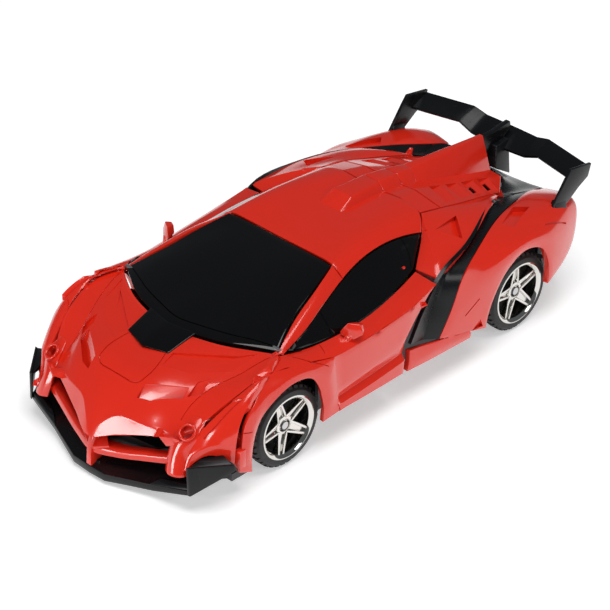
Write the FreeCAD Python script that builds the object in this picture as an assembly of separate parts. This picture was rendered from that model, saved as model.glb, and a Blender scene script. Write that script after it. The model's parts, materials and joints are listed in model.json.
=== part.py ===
import FreeCAD, Part
import math
import os

# Transforming robot car, millimetres. The car faces -Y, its left side is +X and +Z is up.
# The origin is the middle of the box that the car fills, on the ground under the wheels.
# The left half is drawn; the right half is its mirror image.

V = FreeCAD.Vector

# driving dimensions
WHEELBASE = 125.0
TYRE_RADIUS = 16.2
TYRE_WIDTH = 14.0
RIM_RADIUS = 12.7
RIM_FACE_X = 46.5
AXLE_RADIUS = 1.5
FRONT_AXLE_Y = -WHEELBASE / 2
REAR_AXLE_Y = WHEELBASE / 2
AXLE_Z = TYRE_RADIUS
WALL = 1.8
SEAM = 0.25
MOVING_SEAM = 0.45
PIN_RADIUS = 1.0
PIN_CLEARANCE = 0.08

# pivots
FOOT_HINGE = (104.0, 7.0)
CLIP_HINGE = (-60.4, 45.0)
ARM_HINGE = (43.0, -86.5)
HEAD_WIDTH = 25.0
HEAD_REAR_Y = -66.0
HEAD_FRONT_Y = -92.0

# body levels
CHASSIS_BOTTOM = 7.0
CHASSIS_TOP = 10.0
FOOT_BOTTOM = 2.0
FOOT_TOP = 6.0
CORE_HEIGHT = 20.0
CORE_FRONT = -88.0
CORE_REAR = 84.0

# the panels are drawn about the wheelbase; this moves the middle of the length to the origin
ORIGIN_SHIFT = V(0, 3.25, 0)

# shared edges of the skin, left side
WINDSCREEN_BASE = [(0, -77.5, 44.8), (11, -74.7, 45.2), (24, -68, 45.6), (36, -60, 45.4)]
WINDSCREEN_SIDE = [(36, -60, 45.4), (33.8, -47, 50.2), (30.5, -34, 53.8), (26.5, -20.3, 57)]
ROOF_RAIL = [(41, -58.4, 43.8), (38.6, -46, 47), (35.5, -34, 50.2), (31.5, -20, 53)]
CLIP_SEAM = [(41, -61.6, 44), (46, -72.6, 43.2), (48.8, -81, 38.6), (50, -87.6, 31.6),
             (50.2, -89.8, 22), (49.6, -90, 12)]
FRONT_ARCH = [(49.8, -83.8, 9.5), (50.2, -83.4, 20), (50.2, -82, 29), (50.2, -73.4, 34.6),
              (50.2, -62.6, 37.4),
              (50.2, -55.2, 35.4), (50.2, -50.6, 28), (50.2, -48.6, 20), (49.8, -48.8, 12.8)]
REAR_ARCH = [(50.4, 39, 12.5), (50.8, 39.4, 18), (50.8, 43, 26), (50.8, 49.6, 34), (50.8, 59.6, 38.4),
             (50.8, 69.6, 34.8), (50.8, 73.8, 26.6), (50.4, 74.6, 16.5)]
STRIP_FRONT = [(49.6, -2.6, 24.6), (50.2, 5.4, 39.4), (49.4, 12.2, 46), (45, 33, 49.8),
               (34, 57, 50.2), (27.6, 68.4, 46.8), (20, 80, 42.6)]
STRIP_REAR = [(50.2, 12.4, 20.4), (50.2, 18.4, 29.6), (49.6, 25.6, 42), (46, 37, 46.6),
              (38, 57, 48), (32, 74, 45.6), (26, 92, 41.4)]


def vec(point):
    return V(*point)


def mirrored(shape):
    return shape.mirror(V(0, 0, 0), V(1, 0, 0))


def flip(points):
    return [(-x, y, z) for x, y, z in points]


def shift(points, dx=0.0, dy=0.0, dz=0.0):
    return [(x + dx, y + dy, z + dz) for x, y, z in points]


def box(x0, x1, y0, y1, z0, z1):
    return Part.makeBox(x1 - x0, y1 - y0, z1 - z0, V(x0, y0, z0))


def rod(radius, start, end):
    axis = vec(end) - vec(start)
    return Part.makeCylinder(radius, axis.Length, vec(start), axis)


def prism(outline, direction):
    """Solid from a flat outline, pushed along a direction."""
    points = [vec(p) for p in outline]
    return Part.Face(Part.makePolygon(points + points[:1])).extrude(vec(direction))


def toward_core(point, depth):
    """The point moved inward by the wall depth, toward the line through the middle of the car."""
    core = V(0, min(max(point.y, CORE_FRONT), CORE_REAR), CORE_HEIGHT)
    inward = core - point
    return point + inward.normalize() * depth


class Surface:
    """An open surface of triangles, merged from grids of points."""

    def __init__(self):
        self.points = []
        self.index = {}
        self.faces = []

    def add_point(self, point):
        key = tuple(round(c, 3) for c in point)
        if key not in self.index:
            self.index[key] = len(self.points)
            self.points.append(vec(point))
        return self.index[key]

    def add_grid(self, rows):
        numbers = [[self.add_point(p) for p in row] for row in rows]
        for upper, lower in zip(numbers, numbers[1:]):
            for k in range(len(upper) - 1):
                for face in ((upper[k], upper[k + 1], lower[k]), (upper[k + 1], lower[k + 1], lower[k])):
                    if len(set(face)) == 3:
                        self.faces.append(face)
        return self

    def rim(self):
        """Directed edges that belong to one face only, with that face's normal."""
        edges = {}
        for face in self.faces:
            a, b, c = (self.points[k] for k in face)
            normal = (b - a).cross(c - a)
            normal.normalize()
            for k in range(3):
                edges[(face[k], face[(k + 1) % 3])] = normal
        return {e: n for e, n in edges.items() if (e[1], e[0]) not in edges}

    def pull_in(self, gap):
        """Move the rim inward over the surface, so that neighbours leave a seam."""
        sides = {}
        for (start, end), normal in self.rim().items():
            along = self.points[end] - self.points[start]
            inward = normal.cross(along)
            inward.normalize()
            sides.setdefault(start, []).append(inward)
            sides.setdefault(end, []).append(inward)
        for number, inwards in sides.items():
            if len(inwards) < 2:
                continue
            spread = max(1 + inwards[0].dot(inwards[1]), 0.6)
            self.points[number] = self.points[number] + (inwards[0] + inwards[1]) * (gap / spread)

    def solid(self, depth=WALL, gap=SEAM, direction=None):
        """Close the surface with an inner copy and side walls."""
        self.pull_in(gap)
        if direction:
            inner = [p + vec(direction) for p in self.points]
        else:
            inner = [toward_core(p, depth) for p in self.points]
        outer = self.points
        triangles = []
        for a, b, c in self.faces:
            triangles.append((outer[a], outer[b], outer[c]))
            triangles.append((inner[a], inner[c], inner[b]))
        for a, b in self.rim():
            triangles.append((outer[a], inner[a], outer[b]))
            triangles.append((outer[b], inner[a], inner[b]))
        return solid_from(triangles)


def solid_from(triangles):
    faces = [Part.Face(Part.makePolygon([a, b, c, a])) for a, b, c in triangles]
    shell = Part.makeShell(faces)
    shell.sewShape()
    solid = Part.makeSolid(shell)
    if solid.Volume < 0:
        solid.reverse()
    return solid


def skin(*grids, depth=WALL, gap=SEAM, direction=None):
    surface = Surface()
    for rows in grids:
        surface.add_grid(rows)
    return surface.solid(depth, gap, direction)


def both_halves(rows):
    """Rows from the centreline outward, joined with their mirror images."""
    return [flip(row) for row in reversed(rows[1:])] + rows


# front clip: hood, nose, bumper sides, lamps, grille and splitter

HOOD_ROWS = [
    [(0, -78.4, 44.4), (0, -88.4, 41.8), (0, -102.8, 36.8), (0, -110.4, 28), (0, -114.5, 16.5)],
    [(11, -75.6, 44.8), (12, -89, 41.6), (12, -102.6, 36), (12.5, -109.4, 27.6), (12.5, -112.6, 18)],
    [(24, -69, 45.2), (24, -84, 41), (24, -97.6, 35.2), (24.6, -104.4, 27.6), (25, -107.6, 20.6)],
    [(36, -60.9, 45), (35.4, -74, 42), (34, -88, 37.4), (32.4, -97.6, 32), (32, -103.6, 25.6)],
    [(40.2, -60.9, 44), (44.2, -71.4, 43), (43.6, -82.4, 39.4), (41, -92.4, 33.6), (37.6, -101, 27.6)]]


def hood():
    return skin(both_halves(HOOD_ROWS), gap=0.3)


def bumper_left():
    """Side of the nose from the fender crest to the splitter, with the lamp pod."""
    crest = HOOD_ROWS[4] + [(44.4, -104.4, 17.6)]
    seam = [(40.9, -62.6, 44.1), (45.5, -73.7, 43.4), (48.3, -82.1, 39), (49.5, -88.8, 32),
            (49.9, -91.1, 22), (49.4, -91.3, 13.4)]
    pod_top = [(33, -103.6, 27.2), (38.6, -98.5, 27.4), (44.4, -99.4, 23.5), (38.8, -107, 19)]
    pod_foot = [(33.2, -110.8, 9.4), (36.4, -109, 9.8), (39.6, -108.6, 9.4), (36, -111.6, 7.2)]
    return skin([seam[::-1], crest[::-1]], gap=0.3).fuse(loft(pod_top, pod_foot))


def loft(first, second):
    """Straight-sided solid between two outlines with the same number of points."""
    count = len(first)
    a = [vec(p) for p in first]
    b = [vec(p) for p in second]
    triangles = []
    for k in range(1, count - 1):
        triangles.append((a[0], a[k + 1], a[k]))
        triangles.append((b[0], b[k], b[k + 1]))
    for k in range(count):
        j = (k + 1) % count
        triangles.append((a[k], a[j], b[k]))
        triangles.append((a[j], b[j], b[k]))
    return solid_from(triangles)


def hood_insert():
    """Black wedge that carries the windscreen line into the hood."""
    top = [(0, -79, 45.4), (9.6, -76.4, 45.6), (0, -89.6, 42.6), (-9.6, -76.4, 45.6)]
    return loft(top, shift(top, dz=-0.7))


def grille():
    """Dark wall behind the nose opening."""
    outline = [(-31, -99, 8), (-22, -104.4, 8), (0, -108, 8), (22, -104.4, 8), (31, -99, 8),
               (31, -97, 8), (0, -105.6, 8), (-31, -97, 8)]
    return prism(outline, (0, 0, 9))


def crossbar():
    """Red blade across the nose opening, with the upright fin in its middle."""
    front = [(0, -116, 11), (12, -113.8, 11), (24, -110.6, 11.6), (32.6, -107.6, 12)]
    rows = [flip(front[:0:-1]) + front]
    rows.append(shift(rows[0], dy=2.6, dz=2.4))
    plate = [(-1.1, -116.4, 4.2), (-1.1, -115, 14.8), (-1.1, -108.6, 14.8), (-1.1, -108.6, 4.2)]
    return skin(rows, direction=(0, 0.6, -1.6), gap=0).fuse(prism(plate, (2.2, 0, 0)))


def splitter():
    """Black lip under the nose with a keel, side blades and canards."""
    outline = [(0, -116.8, 1), (6, -112, 1), (28, -111.4, 1), (44.6, -107.6, 1), (48, -94, 1),
               (44, -93.6, 1),
               (-44, -93.6, 1), (-48, -94, 1), (-44.6, -107.6, 1), (-28, -111.4, 1), (-6, -112, 1)]
    tray = prism(outline, (0, 0, 3))
    blade = loft([(46.4, -107.8, 1), (48, -107.4, 1), (53.4, -92.6, 9), (51.9, -92.6, 9)],
                 [(44.6, -106.8, 14), (46.2, -106.4, 14), (53.4, -92.6, 18.4), (51.9, -92.6, 18.4)])
    root = box(40, 52.6, -95.4, -93.6, 2.4, 12)
    return tray.fuse([blade, root, mirrored(blade), mirrored(root)]).removeSplitter()


def lamp_lens(side):
    """Round lens let into the sloping top of a lamp pod."""
    outward = V(0.52 * side, -0.59, 0.61).normalize()
    seat = V(38.7 * side, -102.1, 24.3) - outward
    return Part.makeCylinder(2.6, 1.4, seat, outward)


def clip_pin(side):
    y, z = CLIP_HINGE
    return rod(0.8, (side * 36.7, y, z), (side * 40.2, y, z))


# cabin: roof, glass and rear panels

ROOF_ROWS = [
    [(0, -20, 57), (0, -8, 58.4), (0, 3, 59), (0, 14, 59.2), (0, 28.4, 58.8)],
    [(16, -20, 57.3), (18, -8, 58.6), (17.4, 3, 59.3), (16, 14, 59.7), (14, 28.4, 59.2)],
    [(26.5, -20.3, 57), (26.2, -8, 58), (25.6, 3, 58.3), (25.4, 14, 58.2), (25.4, 28.4, 57.2)],
    [(31.5, -20, 53), (29.4, -8, 55.6), (28.7, 3, 56.2), (29, 14, 55), (30.5, 23.5, 53.4)]]
STRIP_ROWS = [
    [(0, 28.4, 58.8), (0, 39, 57.2)],
    [(14, 28.4, 59.2), (12.6, 39, 57.6)],
    [(25.4, 28.4, 57.2), (25.4, 40, 54.8)]]
COVER_ROWS = [
    [(0, 39, 57.2), (0, 55, 53), (0, 70, 49), (0, 92, 42)],
    [(12.6, 39, 57.6), (10.4, 53, 52.6), (9.6, 68, 48.6), (11.6, 90.6, 42.4)],
    [(25.4, 40, 54.8), (24.4, 52, 51.6), (22.6, 66, 47.6), (20, 80, 42.6)]]


def roof_shell():
    pillar = [WINDSCREEN_SIDE, ROOF_RAIL]
    roof = both_halves(ROOF_ROWS)
    return skin(roof, pillar, [flip(r) for r in reversed(pillar)]).fuse(scoop(6, 28))


def scoop(y0, y1):
    """Stretch of the raised intake on the middle of the roof."""
    front = [(-6.4, 6, 58.4), (6.4, 6, 58.4), (6.8, 13, 62.6), (-6.8, 13, 62.6)]
    rear = [(-7.4, 48, 53), (7.4, 48, 53), (2.4, 48, 59.8), (-2.4, 48, 59.8)]
    return loft(front, rear).common(box(-20, 20, y0, y1, 50, 70))


def roof_strip():
    return skin(both_halves(STRIP_ROWS)).fuse(scoop(28.9, 38.6))


def engine_cover():
    return skin(both_halves(COVER_ROWS)).fuse([scoop(39.6, 48), dorsal_fin()])


def dorsal_fin():
    """Red fin that rises from the engine cover to the wing."""
    low = [(-4.6, 46, 55.8), (4.6, 46, 55.8), (5.4, 90, 43.4), (-5.4, 90, 43.4)]
    high = [(-1.6, 46.6, 59.4), (1.6, 46.6, 59.4), (0.8, 90, 55.6), (-0.8, 90, 55.6)]
    return loft(low, high)


def windscreen():
    middle = [(0, -50, 51.6), (17, -48.4, 51.8), (33.8, -47, 50.2)]
    base = [WINDSCREEN_BASE[0], (18, -71.4, 45.5), WINDSCREEN_BASE[3]]
    top = [(0, -20, 57), (13, -20, 57.2), (26.5, -20.3, 57)]
    rows = [base, middle, top]
    full = [flip(row[:0:-1]) + row for row in rows]
    return skin(full, gap=0.3)


def side_window():
    top = ROOF_RAIL[:3] + [(31.5, -20, 53), (29.4, -8, 55.6), (29, 9, 55.6), (30.5, 23.5, 53.4)]
    low = [(41, -58.4, 43.8), (42.8, -47, 42.4), (43.8, -36, 42.2), (44, -22, 42.8),
           (43.2, -10, 44), (41, 2, 45.6), (39, 10.4, 46.7)]
    return skin([low, top], gap=0.3, depth=1.6)


def sail_panel():
    """Red panel behind the side window, down to the black strip."""
    top = [(30.5, 23.5, 53.4), (25.4, 28.4, 57.2), (25.4, 40, 54.8), (24.4, 52, 51.6),
           (22.6, 66, 47.6), (21.2, 75, 44.6)]
    low = [(39, 10.4, 46.7), (49.4, 12.2, 46), (45, 33, 49.8), (34, 57, 50.2), (27.6, 68.4, 46.8),
           (22.6, 76, 44.2)]
    return skin([low, top])


def intake_strip():
    """Black band from the sill up to the tail."""
    return skin([STRIP_FRONT[::-1], STRIP_REAR[::-1]])


def rear_quarter():
    """Rear fender with its wheel arch, tail corner and rocker."""
    inner = STRIP_REAR + [(25.4, 101.6, 38)]
    crest = [(50.5, 15, 19.6), (50.6, 22, 29.5), (50.2, 28, 37.5), (47.6, 42, 43.4), (44.6, 60, 45),
             (43.6, 78, 44), (42.6, 92, 41), (41, 101, 38.2)]
    shoulder = [(50.6, 20, 18.4), (50.9, 28, 27), (51, 35, 34.6), (51, 46, 39.8), (51, 61, 42),
                (50.6, 74, 39.4), (48.6, 86, 34.6), (44.6, 98, 28.6)]
    rocker_top = [(49.8, -3.4, 22.6), (50.2, 12, 20.2), (50.5, 15, 19.6), (50.6, 20, 18.4), (50.4, 38, 16)]
    rocker_low = [(50.2, -5, 13.6), (50.2, 8, 13), (50.2, 14, 12.8), (50.2, 20, 12.6), (50.4, 38, 12.5)]
    arch = [(50.4, 38, 16)] + REAR_ARCH[1:]
    return skin([inner, crest, shoulder, arch], [rocker_top, rocker_low])


def rear_deck():
    """Black deck between the engine cover and the fenders."""
    left = [(20, 80.6, 42.2), (25.6, 92.4, 41), (25, 101.2, 37.6)]
    middle = [(11.6, 91.2, 42), (13, 97, 39), (13.6, 104.4, 34.6)]
    centre = [(0, 92.6, 41.6), (0, 98, 38.4), (0, 106, 32.6)]
    return skin(both_halves([centre, middle, left]))


def tail_panel():
    """Black tail between the fenders, with the diffuser under it."""
    upper = prism([(-39, 98, 13), (39, 98, 13), (39, 101.6, 13), (20, 104.4, 13),
                   (-20, 104.4, 13), (-39, 101.6, 13)],
                  (0, 0, 18))
    diffuser = [box(x - 0.8, x + 0.8, 93, 98, 12, 18) for x in (-30, -15, 0, 15, 30)]
    return upper.fuse(diffuser + [box(-36, 36, 93, 98, 18, 20)])


def wing_blade():
    """Kinked black wing with its end plates."""
    lead = [(0, 100, 47.6), (14, 100.6, 48.2), (21, 100.8, 50.4), (41.6, 96.6, 50.2)]
    tail = [(0, 109.6, 52.8), (13, 109.4, 52.8), (19, 108.8, 54.2), (41.6, 105, 53.6)]
    blade = skin([flip(lead[:0:-1]) + lead, flip(tail[:0:-1]) + tail], direction=(0, 0.7, -1.9), gap=0)
    plate = loft([(41.8, 85.4, 43.4), (41.8, 94, 55.4), (41.8, 106, 54.6), (41.8, 103, 49), (41.8, 90, 43)],
                 [(43.4, 85.4, 43.4), (43.4, 94, 55.4), (43.4, 106, 54.6), (43.4, 103, 49), (43.4, 90, 43)])
    return blade.fuse([plate.translated(V(-0.4, 0, 0)), mirrored(plate.translated(V(-0.4, 0, 0)))])


def wing_support():
    """Black plate on the centreline that carries the wing, and the small top fin."""
    plate = [(0, 90.4, 43), (0, 90.4, 55.2), (0, 97, 55.4), (0, 109.6, 57), (0, 107.4, 54),
             (0, 99.4, 47), (0, 105, 35), (0, 94.6, 41)]
    post = prism(shift(plate, dx=-1.4), (2.8, 0, 0))
    return post.cut(wing_blade())


# arms: front fender, door and skirt in one moulding

def arm_shell():
    """Front fender, door and skirt in one moulding, with the hinge barrel and wheel carrier."""
    belt = [CLIP_SEAM[0], (41.8, -57, 43.2), (42.6, -50, 42.1), (43.6, -40, 41.9), (44, -22, 42.6),
            (42.6, -6, 44.4), (39.4, 10, 46.3)]
    shoulder = [CLIP_SEAM[1], (47.2, -62.6, 42.4), (48.4, -54, 40.8), (50, -42.6, 38.4), (50.8, -22, 39.8),
                (50.8, -4, 41.6), (49.6, 10.8, 45.2)]
    behind_arch = (50.6, -41.6, 21.4)
    skirt_front = (50.2, -40.4, 14)
    band_outer = CLIP_SEAM[:0:-1] + shoulder[1:4] + [behind_arch, skirt_front]
    band_inner = FRONT_ARCH[:2] + [(50.3, -83, 25)] + FRONT_ARCH[2:]
    crease = [behind_arch, (50.8, -24, 23.6), (50.6, -5.4, 26.6), (50.6, 2.8, 39.2)]
    sill = [skirt_front, (50, -22, 14.4), (49.8, -6.4, 14)]
    side = skin([belt, shoulder], [band_outer, band_inner], [shoulder[3:], crease], [crease[:3], sill],
                gap=MOVING_SEAM)
    x, y = ARM_HINGE
    barrel = rod(3, (x, y, 15), (x, y, 27))
    front_bar = box(29, 48.8, y - 1.6, y + 1.6, 15, 25)
    inner_bar = box(28.4, 31.4, y - 1.6, -56, 12, 22)
    carrier = barrel.fuse([front_bar, inner_bar])
    carrier = carrier.cut(rod(PIN_RADIUS + PIN_CLEARANCE, (x, y, 10), (x, y, 30)))
    axle_hole = rod(AXLE_RADIUS, (20, FRONT_AXLE_Y, AXLE_Z), (40, FRONT_AXLE_Y, AXLE_Z))
    return side.fuse(carrier.cut(axle_hole))


def mirror_head():
    head = loft([(50.2, -33, 41.4), (51.6, -29.8, 43.8), (47.2, -29.6, 44.8), (46.6, -32.6, 42.6)],
                [(50.6, -27, 40.8), (52.4, -26, 42.4), (47.8, -26, 43.6), (46.8, -27.4, 42)])
    stalk = rod(1.1, (47.4, -30.4, 39.8), (49, -29.6, 42.4))
    return head.fuse(stalk)


def fist():
    """Robot hand folded against the inside of the door."""
    palm = box(39.6, 46.4, -34, -24, 20, 31)
    fingers = [box(38.6, 45.2, -23.8, -17, 20.2 + 2.8 * k, 22.6 + 2.8 * k) for k in range(4)]
    knuckle = box(39.6, 46.4, -24.2, -22, 20.2, 31)
    forearm = box(40.6, 48.4, -42, -34, 19, 32)
    return palm.fuse(fingers + [knuckle, forearm])


def stub_axle():
    return rod(AXLE_RADIUS, (28.4, FRONT_AXLE_Y, AXLE_Z), (44.6, FRONT_AXLE_Y, AXLE_Z))


# wheels

def tyre(y):
    inner_x = RIM_FACE_X - TYRE_WIDTH
    profile = [(inner_x, RIM_RADIUS), (inner_x, 14.6), (inner_x + 1.6, TYRE_RADIUS),
               (RIM_FACE_X - 1.6, TYRE_RADIUS),
               (RIM_FACE_X, 14.6), (RIM_FACE_X, RIM_RADIUS)]
    points = [V(x, y, AXLE_Z + r) for x, r in profile]
    face = Part.Face(Part.makePolygon(points + points[:1]))
    return face.revolve(V(0, y, AXLE_Z), V(1, 0, 0), 360)


def rim(y, bore):
    back = RIM_FACE_X - TYRE_WIDTH
    barrel = rod(RIM_RADIUS, (back, y, AXLE_Z), (RIM_FACE_X, y, AXLE_Z))
    barrel = barrel.cut(rod(RIM_RADIUS - 1.2, (back - 1, y, AXLE_Z), (RIM_FACE_X + 1, y, AXLE_Z)))
    hub = rod(3.4, (back + 2, y, AXLE_Z), (RIM_FACE_X - 0.8, y, AXLE_Z))
    spokes = []
    for k in range(5):
        spoke = box(RIM_FACE_X - 4, RIM_FACE_X - 1.4, y - 1.7, y + 1.7, AXLE_Z, AXLE_Z + RIM_RADIUS - 0.6)
        spoke.rotate(V(0, y, AXLE_Z), V(1, 0, 0), 72 * k)
        spokes.append(spoke)
    web = rod(RIM_RADIUS - 0.6, (back + 5, y, AXLE_Z), (back + 6.4, y, AXLE_Z))
    wheel = barrel.fuse([hub, web] + spokes)
    return wheel.cut(rod(bore, (back - 1, y, AXLE_Z), (RIM_FACE_X - 1.6, y, AXLE_Z)))


def gear(radius, teeth, tooth, x0, x1, y, z, bore):
    """Spur gear along X with plain teeth."""
    body = rod(radius - tooth, (x0, y, z), (x1, y, z))
    blocks = []
    for k in range(teeth):
        block = box(x0, x1, y - 0.45 * math.pi * radius / teeth, y + 0.45 * math.pi * radius / teeth,
                    z + radius - tooth - 0.3, z + radius)
        block.rotate(V(0, y, z), V(1, 0, 0), 360 / teeth * k)
        blocks.append(block)
    whole = body.fuse(blocks)
    return whole.cut(rod(bore, (x0 - 1, y, z), (x1 + 1, y, z))) if bore else whole


DRIVE_GEAR_RADIUS = 5.8
PINION_RADIUS = 2.2
PINION_Y = REAR_AXLE_Y + 8.2
REAR_AXLE_END = 44.6


def rear_axle():
    return rod(AXLE_RADIUS, (-REAR_AXLE_END, REAR_AXLE_Y, AXLE_Z), (REAR_AXLE_END, REAR_AXLE_Y, AXLE_Z))


def axle_gear():
    return gear(DRIVE_GEAR_RADIUS, 20, 1.0, -2, 2, REAR_AXLE_Y, AXLE_Z, AXLE_RADIUS)


def motor_pinion():
    teeth = gear(PINION_RADIUS, 8, 0.8, -2, 2, PINION_Y, AXLE_Z, 0)
    shaft = rod(0.8, (2, PINION_Y, AXLE_Z), (16.6, PINION_Y, AXLE_Z))
    return teeth.fuse(shaft)


def drive_motor():
    body = box(17.2, 30.4, PINION_Y - 5, PINION_Y + 5, AXLE_Z - 5, AXLE_Z + 5)
    bearing = rod(2, (16.8, PINION_Y, AXLE_Z), (17.2, PINION_Y, AXLE_Z))
    return body.fuse(bearing)


def gearbox():
    """Housing over the axle gear, open to the floor pan."""
    shell = box(-15.6, 15.6, 50, 77.6, 10, 28).cut(box(-13.6, 13.6, 52, 75.6, 9, 26))
    axle_hole = rod(AXLE_RADIUS + PIN_CLEARANCE, (-20, REAR_AXLE_Y, AXLE_Z), (20, REAR_AXLE_Y, AXLE_Z))
    shaft_hole = rod(0.8 + PIN_CLEARANCE, (10, PINION_Y, AXLE_Z), (20, PINION_Y, AXLE_Z))
    return shell.cut(axle_hole.fuse(shaft_hole))


# inside the cabin

def chassis():
    """Floor pan with the battery opening, the switch slot, hinge bosses and tail lugs."""
    floor = box(-30, 30, -84, 98, CHASSIS_BOTTOM, CHASSIS_TOP)
    wide = box(-37, 37, -38, 34, CHASSIS_BOTTOM, CHASSIS_TOP)
    walls = [box(-37, -35.4, -38, 34, CHASSIS_TOP, 40), box(35.4, 37, -38, 34, CHASSIS_TOP, 40)]
    cross = box(-46, 46, -90.4, -83, CHASSIS_BOTTOM, CHASSIS_TOP)
    bosses = [rod(3.2, (s * ARM_HINGE[0], ARM_HINGE[1], CHASSIS_TOP),
                  (s * ARM_HINGE[0], ARM_HINGE[1], 14.5)) for s in (-1, 1)]
    y, z = FOOT_HINGE
    lugs = [rod(2.8, (x, y, z), (x + 6, y, z)).fuse(box(x, x + 6, 97, y, z, z + 2.8)) for x in (-18, 12)]
    pan = floor.fuse([wide, cross] + walls + bosses + lugs)
    holes = [box(-24, 24, -33, 23, 0, 12), box(-2.9, 2.9, 32.4, 41, 0, 12)]
    holes += [rod(PIN_RADIUS, (s * ARM_HINGE[0], ARM_HINGE[1], 8),
                  (s * ARM_HINGE[0], ARM_HINGE[1], 20)) for s in (-1, 1)]
    holes.append(rod(PIN_RADIUS + PIN_CLEARANCE, (-30, y, z), (30, y, z)))
    pan = pan.cut(holes[0].fuse(holes[1:]))
    return pan.fuse([front_bulkhead(), rear_bulkhead(), head_guide()]).removeSplitter()


def arm_pin(side):
    return rod(PIN_RADIUS, (side * ARM_HINGE[0], ARM_HINGE[1], 8), (side * ARM_HINGE[0], ARM_HINGE[1], 28))


def battery_box():
    shell = box(-25.6, 25.6, -35, 25, CHASSIS_TOP, 27).cut(box(-23.8, 23.8, -33.2, 23.2, 9, 25.4))
    posts = [rod(1.6, (x, y, 27), (x, y, 29)) for x in (-22, 22) for y in (-30, 20)]
    return shell.fuse(posts)


def battery_cells():
    return [rod(7.1, (x, -30, 17.7), (x, 20.5, 17.7)) for x in (-15.4, 0, 15.4)]


def battery_door():
    door = box(-23.7, 23.7, -32.7, 22.7, CHASSIS_BOTTOM, 9)
    ribs = [box(-20, 20, y, y + 1, 6.2, 7) for y in (-24, -14, -4, 6)]
    holes = [rod(1.2, (0, y, 5), (0, y, 12)) for y in (-29.6, 19.6)]
    return door.fuse(ribs).cut(holes[0].fuse(holes[1]))


def door_screws():
    screws = []
    for y in (-29.6, 19.6):
        screws.append(rod(1.2, (0, y, 7), (0, y, 9)).fuse(rod(2.2, (0, y, 6.2), (0, y, 7))))
    return screws


def circuit_board():
    board = box(-28, 28, -34, 24, 29, 30.4)
    chips = [box(-10, 2, -20, -8, 30.4, 32), box(10, 16, 0, 10, 30.4, 33), box(-22, -14, 4, 16, 30.4, 34)]
    return Part.makeCompound([board.fuse(chips), switch_body()])


def head_guide():
    block = box(-9, 9, -64, -46, CHASSIS_TOP, 30)
    return block.cut(box(-3.2, 3.2, -70, -40, 18.8, 25.2))


def head():
    """Robot head with its sliding neck; the face looks down."""
    skull = box(-HEAD_WIDTH / 2, HEAD_WIDTH / 2, HEAD_FRONT_Y + 3, HEAD_REAR_Y, 14, 33)
    crown = box(-8, 8, HEAD_FRONT_Y, HEAD_FRONT_Y + 3, 16, 31)
    neck = box(-3, 3, HEAD_REAR_Y, -42, 19, 25)
    return skull.fuse([crown, neck])


def face_plate():
    return box(-9, 9, -86, -70, 12.4, 14)


def transform_gearbox():
    return box(-14, 14, 80, 92, CHASSIS_TOP, 24).cut(box(-12, 12, 82, 90, 9, 22))


def transform_motor():
    return box(-29, -14.6, 81, 91, 10.4, 20.4).fuse(rod(2, (-14.6, 86, 15.4), (-14, 86, 15.4)))


def front_bulkhead():
    """Wall under the windscreen, with a window for the sliding neck."""
    return box(-34, 34, -45.6, -44, CHASSIS_TOP, 40).cut(box(-4, 4, -50, -40, 18, 26))


def rear_bulkhead():
    return box(-28, 28, 46.4, 48, CHASSIS_TOP, 44)


def power_switch():
    return box(-2.5, 2.5, 33, 36.4, 5.8, 10.2)


def switch_body():
    return box(-5, 5, 29, 45, 10.4, 15)


def chest_plate():
    """Armour relief of the robot's chest, under the floor pan."""
    centre = box(-24, 24, -80, -40, 4.6, CHASSIS_BOTTOM)
    step = box(-16, 16, -74, -46, 3.6, 4.6)
    return centre.fuse(step)


def leg_plate():
    return box(6, 27, 44, 60, 4, CHASSIS_BOTTOM).fuse(box(9, 24, 26, 44, 4.8, CHASSIS_BOTTOM))


# feet, which stay on the ground while the car stands up

def foot_base():
    y, z = FOOT_HINGE
    plates = [box(6, 29, 62, 100.6, FOOT_BOTTOM, FOOT_TOP), box(-29, -6, 62, 100.6, FOOT_BOTTOM, FOOT_TOP)]
    bridge = box(-29, 29, 94, 100.6, FOOT_BOTTOM, FOOT_TOP)
    ears = [rod(2.8, (x, y, z),
                (x + 5, y, z)).fuse(box(x, x + 5, 100, y, z - 2.8, FOOT_TOP)) for x in (-24, 19)]
    base = plates[0].fuse([plates[1], bridge] + ears)
    return base.cut(rod(PIN_RADIUS, (-30, y, z), (30, y, z)))


def foot_pin():
    y, z = FOOT_HINGE
    return rod(PIN_RADIUS, (-24.6, y, z), (24.6, y, z))


def foot_gear():
    y, z = FOOT_HINGE
    return gear(3.6, 12, 0.8, -3, 3, y, z, PIN_RADIUS)


def knuckles(shape, x0, x1, clear_from, clear_to, reach, side):
    """Give a panel its hinge knuckle for the front clip and room for its neighbour's."""
    y, z = CLIP_HINGE
    room = rod(1.7, (side * clear_from, y, z), (side * clear_to, y, z))
    web = box(x0, x1, min(y, y + reach), max(y, y + reach), z - 1.5, z - 0.1)
    knuckle = rod(1.25, (side * x0, y, z), (side * x1, y, z)).fuse(web if side > 0 else mirrored(web))
    bore = rod(0.88, (side * 36, y, z), (side * 41, y, z))
    return shape.cut(room).fuse(knuckle).cut(bore)


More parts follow.
